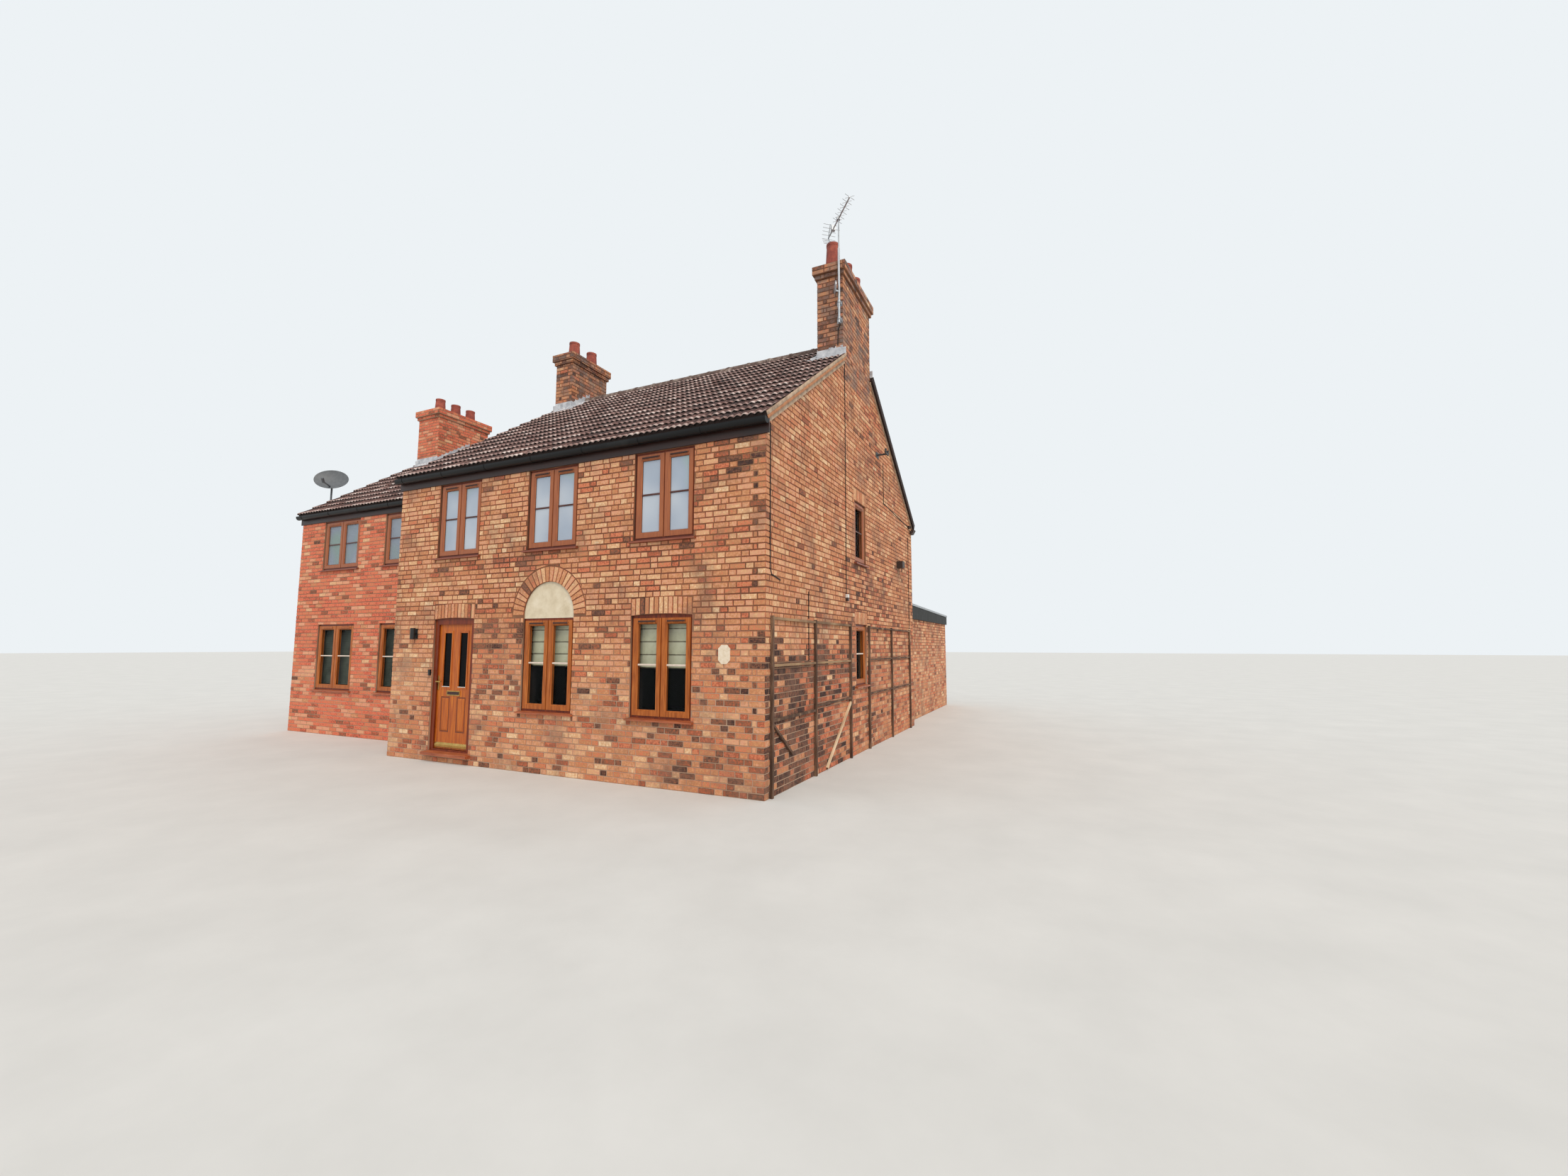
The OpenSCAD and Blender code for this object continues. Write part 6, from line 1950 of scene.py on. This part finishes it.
@dataclass(frozen=True)
class Battens:
    """Pale weathered boards nailed over the trellis's rails and its long strut."""

    side: float = 34 * MM  # side of a board, which covers a rail all round
    stand: float = 21 * MM  # distance of the rails' middle from the wall
    step: float = 0.12  # length of the stretches that are uneven on their own
    rough: float = 1.5 * MM  # how uneven the saw left them
    # each board's ends, as distance from the front and height, and its finish
    top: tuple = (0.15, 2.135, 3.08, 2.135, "rail_wood")
    middle: tuple = (0.15, 1.56, 3.08, 1.56, "rail_wood")
    strut: tuple = (3.08, 0.9, 1.98, 0.03, "pale_wood")

    def build(self, site: Site) -> None:
        """Nails the boards on.

        Args:
            site: The house.
        """
        wall = Vector((site.shell.right + self.stand, site.shell.front, 0))
        for name in ("top", "middle", "strut"):
            y0, z0, y1, z1, finish = getattr(self, name)
            length = math.hypot(y1 - y0, z1 - z0)
            bench = Bench(f"trellis_{name}_board", (self.side, length, self.side))
            bench.roughen(length, self.step, self.rough, lambda corner: corner.co.x > 0)
            turn = Matrix.Rotation(math.atan2(z1 - z0, y1 - y0), 4, "X")
            middle = Vector((wall.x, site.shell.front + (y0 + y1) / 2, (z0 + z1) / 2))
            site.fit(bench.bevel(3 * MM).done(Matrix.Translation(middle) @ turn), finish)


@dataclass(frozen=True)
class Cables:
    """Cables clipped over the bricks of the right gable and of the right stack's front."""

    # wider than the cable, so that the dark strip also stands for the cable's painted shadow on the wall
    width: float = 15 * MM
    depth: float = 15 * MM
    lap: float = 0.7  # how much longer than its path a leg is, as a share of the width
    # runs on the gable, as distance from the front and height
    gable: tuple[tuple[tuple[float, float], ...], ...] = (
        ((0.105, 4.56), (0.112, 2.745), (0.15, 2.672), (0.4, 2.625)),
        ((2.93, 6.56), (2.93, 2.64)),
        ((5.24, 5.47), (5.24, 4.65), (7.28, 4.53)),
        ((1.33, 2.55), (1.33, 2.177)),
        ((1.33, 2.105), (1.33, 1.602)),
        ((7.24, 4.27), (7.24, 2.189)),
    )
    # the run on the stack, as place along x and height
    stack: tuple[tuple[float, float], ...] = ((5.851, 7.256), (5.812, 7.15), (5.803, 6.885))
    sensor: Triple = (50 * MM, 66 * MM, 58 * MM)  # the cover at the second run's foot

    def legs(self, wall: Matrix, run: tuple[tuple[float, float], ...]) -> list[Matrix]:
        """Works out where the straight legs of a run go.

        Args:
            wall: The wall's place and turn; x points out of it and y along it.
            run: The run's corners.

        Returns:
            The place, turn and stretch of each leg.
        """
        moves = []
        for (u0, z0), (u1, z1) in zip(run, run[1:]):
            middle = Matrix.Translation((self.depth / 2, (u0 + u1) / 2, (z0 + z1) / 2))
            turn = Matrix.Rotation(math.atan2(z1 - z0, u1 - u0), 4, "X")
            length = math.hypot(u1 - u0, z1 - z0) + self.width * self.lap
            moves.append(wall @ middle @ turn @ Matrix.Diagonal((1, length, 1, 1)))
        return moves

    def build(self, site: Site) -> None:
        """Clips the cables on and covers the sensor.

        Args:
            site: The house.
        """
        gable = Matrix.Translation((site.shell.right, site.shell.front, 0))
        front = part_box("right_chimney")[0].y + Stack.inward
        shaft = Matrix.Translation((0, front, 0)) @ Matrix.Rotation(-math.pi / 2, 4, "Z")
        moves = [move for run in self.gable for move in self.legs(gable, run)] + self.legs(shaft, self.stack)
        leg = Bench("cable", (self.depth, 1.0, self.width)).bevel(4 * MM, 2).done()
        site.repeat(leg, "clipped_cables", moves, "cable")
        y, z = self.gable[1][-1]
        at = gable @ Matrix.Translation((self.sensor[0] / 2, y, z - self.sensor[2] / 2))
        site.fit(Bench("sensor_cover", self.sensor).bevel(7 * MM, 3).done(at), "white")


@dataclass(frozen=True)
class Stage:
    """The floor, the sky and the lamp."""

    size: float = 400.0
    light: str = "#F2F5FA"
    light_strength: float = 0.85
    backdrop: str = "#EDF2F5"
    sun: str = "#FFF3E2"
    sun_energy: float = 1.5
    sun_angle: float = math.radians(25)
    sun_falls: Triple = (-0.5, 0.5, -0.71)

    def build(self) -> None:
        """Lays a plain pale floor, fills the world with an even sky and hangs a soft, warm sun."""
        Bench.leave()
        bpy.ops.mesh.primitive_plane_add(size=self.size)
        floor = bpy.context.active_object
        floor.name = "studio_floor"
        finish = Finish("painted studio floor", "concrete", "#D2D2CE #DADAD6", 900, 0.9, 0.0)
        floor.data.materials.append(finish.build())
        world = bpy.data.worlds.new("overcast")
        bpy.context.scene.world = world
        tree = blank(world)
        rays = add_node(tree, "LightPath").outputs
        seen = rays["Is Camera Ray"]
        for kind in ("Is Glossy Ray", "Is Transmission Ray"):
            seen = add_node(tree, "Math", {0: seen, 1: rays[kind]}, operation="MAXIMUM")
        light = add_node(tree, "Background", {"Color": linear(self.light), "Strength": self.light_strength})
        pale = add_node(tree, "Background", {"Color": linear(self.backdrop), "Strength": 1.0})
        shader = add_node(tree, "MixShader", {0: seen, 1: light, 2: pale})
        add_node(tree, "OutputWorld", {"Surface": shader})
        Bench.leave()
        bpy.ops.object.light_add(type="SUN")
        sun = bpy.context.active_object
        sun.name = "soft_sun"
        sun.data.energy = self.sun_energy
        sun.data.angle = self.sun_angle
        sun.data.color = linear(self.sun)[:3]
        sun.rotation_euler = Vector(self.sun_falls).to_track_quat("-Z", "Y").to_euler()


@dataclass(frozen=True)
class PhotoView:
    """The camera at the photograph's viewing angle."""

    focal_px: float = 862.9  # focal length in pixels of the photograph
    width_px: float = 2212
    sensor: float = 36.0
    offset: Triple = (3.281, -6.529, 1.790)  # from the house's near corner on the ground
    pan: float = math.radians(24.925)  # turn to the left
    tilt: float = math.radians(5.464)
    roll: float = math.radians(0.112)

    def build(self, shell: Shell) -> None:
        """Sets up the camera.

        Args:
            shell: The house's planes.
        """
        camera = bpy.data.objects.new("photo_camera", bpy.data.cameras.new("photo_camera"))
        bpy.context.scene.collection.objects.link(camera)
        camera.data.sensor_width = self.sensor
        camera.data.lens = self.focal_px * self.sensor / self.width_px
        camera.data.clip_end = 1000
        turns = [Matrix.Rotation(angle, 4, axis) for angle, axis in
                 ((self.pan, "Z"), (math.pi / 2 + self.tilt, "X"), (self.roll, "Z"))]
        place = Vector((shell.right, shell.front, 0)) + Vector(self.offset)
        camera.matrix_world = Matrix.Translation(place) @ (turns[0] @ turns[1] @ turns[2])
        bpy.context.scene.camera = camera


BRICK = Finish(
    "hand-made facing brick", "brick_weathered", " ".join(clay.value for clay in Clay), 30, 0.92, 1.6, 5,
    contrast=0.3, dirt=("#80604F", 600, 0.42), toned=True,
)
# How much finer a grain's patches are across it than along it
UPRIGHT, LEVEL = (1.0, 1.0, 0.08), (0.1, 1.0, 1.0)

# Each finish by the name that the pieces use, as its material, slot, colours, size of the colour patches,
# roughness, and height and size of the grain
FINISHES: dict[str, Finish | Glazing] = {
    # one clay a brick, sandy and pitted, blotched by firing and soot
    "brick": BRICK,
    # cleaner and redder than the old brick
    "wing_brick": replace(
        BRICK, name="newer facing brick", slot="brick_red", dirt=("#8A5444", 500, 0.1),
        colours=" ".join(ROSY.get(clay, clay.value) for clay in Clay),
    ),
    # the old brick, greyed all over by the flues' soot
    "sooty_brick": replace(
        BRICK, name="soot-stained facing brick", contrast=0.22, dirt=("#786C66", 240, 0.75),
    ),
    # dry and sandy, darkened by weather in wide patches; inside the rooms it carries the painted shade of the
    # unlit rooms
    "mortar": WallBody(
        "weathered lime mortar", "brick_weathered", "#5C3A28 #744B34 #8A5F42 #A57B5A", 900, 0.95, 0.8, 4,
        nodes="front_wall_left front_wall_right front_wall_upper right_gable_wall left_gable_wall back_wall "
        "wing_front_wall wing_end_wall wing_back_wall extension_side_walls extension_back_wall "
        "right_chimney left_chimney wing_chimney brick_arches",
    ),
    # matt and dark: painted shade, so that the rooms stay dim
    "concrete": Finish("dark slate floor", "concrete", "#26221F #35302C", 300, nodes="ground_floors"),
    # brown streaks along the boards, darkened as painted shade of the unlit rooms
    "boards": Finish("dark oiled boards", "floor_timber", "#2E2118 #3E2D20 #4A3728", 40,
                     stretch=(0.15, 1.0, 1.0), nodes="upper_floors"),
    # weathered from brown to a lichen grey, rough as sandpaper; its darkest and palest colours carry the
    # painted shade and highlights of the courses
    "tile": Finish("weathered concrete tile", "roof_tile",
                   "#150A09 #2E1815 #4C2D27 #705048 #9A7A72 #C2A9A1 #E0D0C8", 60, 0.88, 1.6, 6,
                   contrast=0.36, dirt=("#9C857A", 90, 0.18), toned=True),
    # the shade between the tiles
    "tile_bed": Finish("dark underside of concrete tiles", "roof_tile", "#2A1E1B #3B2C27", 90, 0.92, 1.0, 6,
                       nodes="main_roof_front main_roof_back wing_roof_front wing_roof_back"),
    # blotched with pale lichen
    "ridge": Finish("concrete ridge tile", "ridge_tile", "#4A3832 #66524A #85736A", 80, 0.88, 1.0, 5,
                    dirt=("#B9ADA2", 160, 0.4), nodes="ridge_tiles"),
    # matt orange red, smoked in patches
    "pot": Finish("unglazed terracotta", "terracotta", "#7A3A30 #9C4C3E #B86450", 120, 0.8, 0.5,
                  dirt=("#5B3A34", 260, 0.3), nodes="chimney_pots"),
    # soft grey, half hidden by its chalky bloom
    "lead": Finish("milled lead with white bloom", "lead", "#9A9DA3 #BFC2C7 #DEE0E3", 130, 0.55, 0.8, 12,
                   dirt=("#E8E9E9", 180, 0.3), nodes="chimney_flashings"),
    # pale, sandy and streaked
    "verge": Finish("cement mortar verge", "verge", "#9A826C #BCA288 #D2BAA0", 110, 0.92, 1.5, 6,
                    dirt=("#5B4C40", 300, 0.3), nodes="verge_trims"),
    # has taken on the bricks' colour
    "undercloak": Finish("stained mortar under the verge", "verge", "#A06A48 #B87E58 #C89268",
                         90, 0.92, 1.0, 6),
    # near black: the rosewood foil darkened further as painted shade under the gutter, with a faint grain
    # along the board
    "fascia": Finish("rosewood foil board", "fascia_plastic", "#200F0A #2E1711 #40221A", 90, 0.42, 0.1, 4,
                     stretch=(0.12, 1.0, 1.0), nodes="fascia_boards"),
    # black with a dull sheen, dusty in places
    "gutter": Finish("extruded black PVC", "gutter_plastic", "#0A0A0B #111213", 400, 0.42, 0.1, 8, ior=1.35,
                     dirt=("#2C2D2D", 600, 0.15), nodes="gutters"),
    # cream and matt, a little stained
    "render": Finish("painted sand render", "render", "#D0C1A4 #DDD0B5 #E8DDC6", 170, 0.9, 0.6,
                     dirt=("#B9A582", 300, 0.3), nodes="arch_panel"),
    # dark printed grain, upright on satin plastic; darkened further as painted shade round and between the
    # sashes
    "frame": Foil("wood-grain foil on PVC frame", "frame_plastic", "#5A2009 #742C10 #8A3E1A", 26, 0.45, 0.08,
                  stretch=UPRIGHT, ior=1.4, nodes="window_frames wing_window_frames door_frame"),
    # the same grain in light oak, paler than the frames' painted shade, so that the sashes stand out from
    # their frames
    "sash": Foil("wood-grain foil on PVC sash", "sash_plastic", "#84400F #AC5C1E #C27434", 26, 0.42, 0.08,
                 stretch=UPRIGHT, ior=1.4, upper="#985E46", nodes="window_sashes wing_window_sashes"),
    # the grain lies along the sill, greyer where water runs
    "sill": Foil("wood-grain foil on PVC sill", "sill_plastic", "#8A4226 #A85A36 #C2744C", 40, 0.4, 0.08,
                 stretch=LEVEL, dirt=("#6E4632", 400, 0.25), nodes="window_sills door_sill"),
    # a thin dull line round the glass
    "seal": Finish("black rubber gasket", "cable", "#151514 #1F1E1D", 60, 0.7),
    # a dark sealant line between the frames and the bricks, which also carries the painted shade round the
    # frames
    "sealant": Finish("black frame sealant", "cable", "#24130E #331B14", 60, 0.8),
    # satin, and pale against the dark rooms
    "low_bar": Finish("pale glazing bar", "sash_plastic", "#D6C6B6 #E8DACB", 60, 0.4, 0.05),
    # satin, and dark against the painted sky reflection
    "high_bar": Finish("dark glazing bar", "sash_plastic", "#42201A #582C22", 60, 0.4, 0.05),
    # smooth and nearly black
    "hood": Finish("dark moulded vent hood", "sash_plastic", "#2A130E #3C1D15", 60, 0.5, 0.05),
    # the same smooth brown on the door
    "flap": Finish("dark moulded letter flap", "door_plastic", "#2A130E #3C1D15", 60, 0.5, 0.05),
    # see-through below, and a painted reflection of a soft bright sky above
    "glass": Glazing("float glass unit", "glass", "window_glass wing_window_glass"),
    # black and rippled, with little shine
    "door_glass": Finish("dark obscured glass", "door_glazing", "#060506 #0E0D0E", 60, 0.3, 0.6, 12, ior=1.15,
                         nodes="door_glass"),
    # matt greenish cream, with painted shade in its folds
    "blind": Finish("woven linen blind", "blind_cloth", "#5E5A48 #A6A58A #C0C2A6 #CED0B8", 60, 0.9, 0.25, 1.6,
                    contrast=0.25, toned=True, nodes="window_blinds"),
    # dim green-grey strips with a dull sheen
    "slats": Finish("painted aluminium slats", "blind_cloth", "#3A4038 #4C544A #626A5E", 200, 0.45),
    # warm orange oak with its grain upright
    "door": Finish("wood-grain foil on door skin", "door_plastic", "#964202 #B85C12 #CC741C", 30, 0.5, 0.1,
                   stretch=(1.0, 1.0, 0.07), nodes="door_leaf"),
    # the door's oak in shade
    "groove": Finish("shaded panel groove", "door_plastic", "#6E300C #864018", 30, 0.5, 0.05),
    # a bright satin line
    "drip": Finish("brushed steel drip bar", "brass_fittings", "#D8D4D0 #EDEBE8", 30, 0.4, 0.02),
    # warm shining metal
    "brass": Finish("polished brass", "brass_fittings", "#B08C4A #D0AC66", 60, 0.28, 0.02, metallic=1.0,
                    nodes="door_hinges door_furniture"),
    # smooth, with soft lights on its edges
    "white": Finish("white moulded plastic", "lamp_brown", "#D4D2CC #E6E4DE", 60, 0.45, 0.05),
    # even and faintly satin
    "black": Finish("powder-coated black metal", "lamp_black", "#151617 #232425", 60, 0.45, 0.05,
                    nodes="wall_light"),
    # even and nearly black in the eaves' shade
    "brown": Finish("dark brown coated metal", "lamp_brown", "#2A1C17 #3C2A22", 60, 0.5, 0.05,
                    nodes="gable_lamps"),
    # pale and fine-grained
    "plaque": Finish("cast stone plaque", "plaque_stone", "#DAC8AC #E8D8C0 #F0E4D2", 40, 0.8, 0.2, 2,
                     nodes="name_plaque"),
    # dull, spangled grey
    "steel": Finish("galvanised steel", "bracket_steel", "#3E4143 #55595C", 40, 0.55, metallic=0.6,
                    nodes="service_bracket"),
    # brown black and dry
    "cable": Finish("weathered cable sheath", "cable", "#170E0B #241813", 120, 0.7, nodes="wall_cables"),
    # tarry brown black, with its grain along the board
    "board": Finish("creosoted bargeboard", "verge", "#1C100D #2A1813 #3A241D", 60, 0.8, 0.3, 4,
                    stretch=(1.0, 0.2, 0.2)),
    # silvered in places, and dark where it stays damp
    "trellis": Finish("weathered larch batten", "trellis_wood", "#35221A #4E3626 #6E5240 #A08464",
                      55, 0.85, 0.5, 4, stretch=(1.0, 0.25, 0.12), nodes="front_trellis rear_trellis"),
    # dry and paler than the posts
    "rail_wood": Finish("sun-bleached batten", "trellis_wood", "#5E4632 #8A6C50 #B39470", 70, 0.85, 0.4, 4,
                        stretch=(1.0, 0.12, 0.2)),
    # creamy and clean, not yet weathered
    "pale_wood": Finish("new softwood batten", "trellis_wood", "#B89C7C #DABE9A #E8D0B0", 55, 0.85, 0.4, 4,
                        stretch=(1.0, 0.12, 0.12)),
    # light grey metal, dulled outdoors
    "aerial": Finish("dull drawn aluminium", "aerial_metal", "#9C9FA3 #BEC1C5", 80, 0.4, 0.02, metallic=0.8,
                     nodes="tv_aerial"),
    # a light metal line on the flat roof's edge
    "ext_trim": Finish("mill aluminium edge trim", "ext_trim", "#9A9DA0 #B8BBBD", 120, 0.4, 0.05,
                       metallic=0.7, nodes="extension_trim"),
    # flat mid grey against the sky
    "dish": Finish("grey coated dish steel", "dish_metal", "#585C60 #6C7074", 70, 0.5,
                   nodes="satellite_dish"),
    # matt grey in wide soft clouds
    "deck": Finish("grey roofing sheet", "flat_roof", "#74787B #8A8E91", 300, 0.75, 0.4,
                   nodes="extension_roof"),
    # near black and even
    "ext_fascia": Finish("anthracite coated board", "ext_fascia", "#282928 #323331", 200, 0.6, 0.05, ior=1.25,
                         nodes="extension_fascia"),
}


def main() -> None:
    """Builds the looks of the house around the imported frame."""
    logging.basicConfig(level=logging.INFO, format="%(name)s %(message)s")
    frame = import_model()
    bpy.context.scene.view_settings.view_transform = "Standard"
    shell = Shell.read()
    PhotoView().build(shell)
    # the painted shade of the unlit rooms, and where the wing's newer pointing begins
    room_shade = {"rooms": shell.rooms(), "ceiling": shell.eaves + 150 * MM, "wing_x": shell.left - 20 * MM}
    looks = FINISHES | {
        "mortar": replace(FINISHES["mortar"], **room_shade),
        "glass": replace(FINISHES["glass"], left=shell.left, right=shell.right - shell.skin),
    }
    site = Site(frame, shell, {name: finish.build() for name, finish in looks.items()})
    site.dress()
    Brickwork(site).build()
    stacks = [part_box(node) for node in ("right_chimney", "left_chimney", "wing_chimney")]
    slopes = ("main_roof_front", "main_roof_back", "wing_roof_front", "wing_roof_back")
    roofs = [
        TiledRoof(node.replace("roof", "tiles"), Pitch.read(node), stacks, seed)
        for seed, node in enumerate(slopes)
    ]
    tiles = [site.fit(roof.build(), "tile") for roof in roofs]
    for roof, piece in zip(roofs, tiles):
        DressedLead().build(site, roof, piece)
    low, high = stacks[0]
    front, back = roofs[0].pitch, roofs[1].pitch
    mortar = Verge("verge_mortar", "verge", thick=9 * MM, deep=50 * MM, rough=5 * MM)
    bed = Verge("verge_undercloak", "undercloak", thick=6 * MM, deep=44 * MM, rough=2 * MM, top=-13 * MM)
    board = Verge("rear_bargeboard", "board", thick=24 * MM, deep=130 * MM, rough=1 * MM, step=0.4)
    mortar.build(site, front, low.y + Stack.inward)
    bed.build(site, front, low.y + Stack.inward)
    board.build(site, back, high.y - Stack.inward)
    for assembly in (WindowTrim(), Blinds(), DoorTrim(), Battens(), Cables()):
        assembly.build(site)
    Stage().build()


if __name__ == "__main__":
    main()
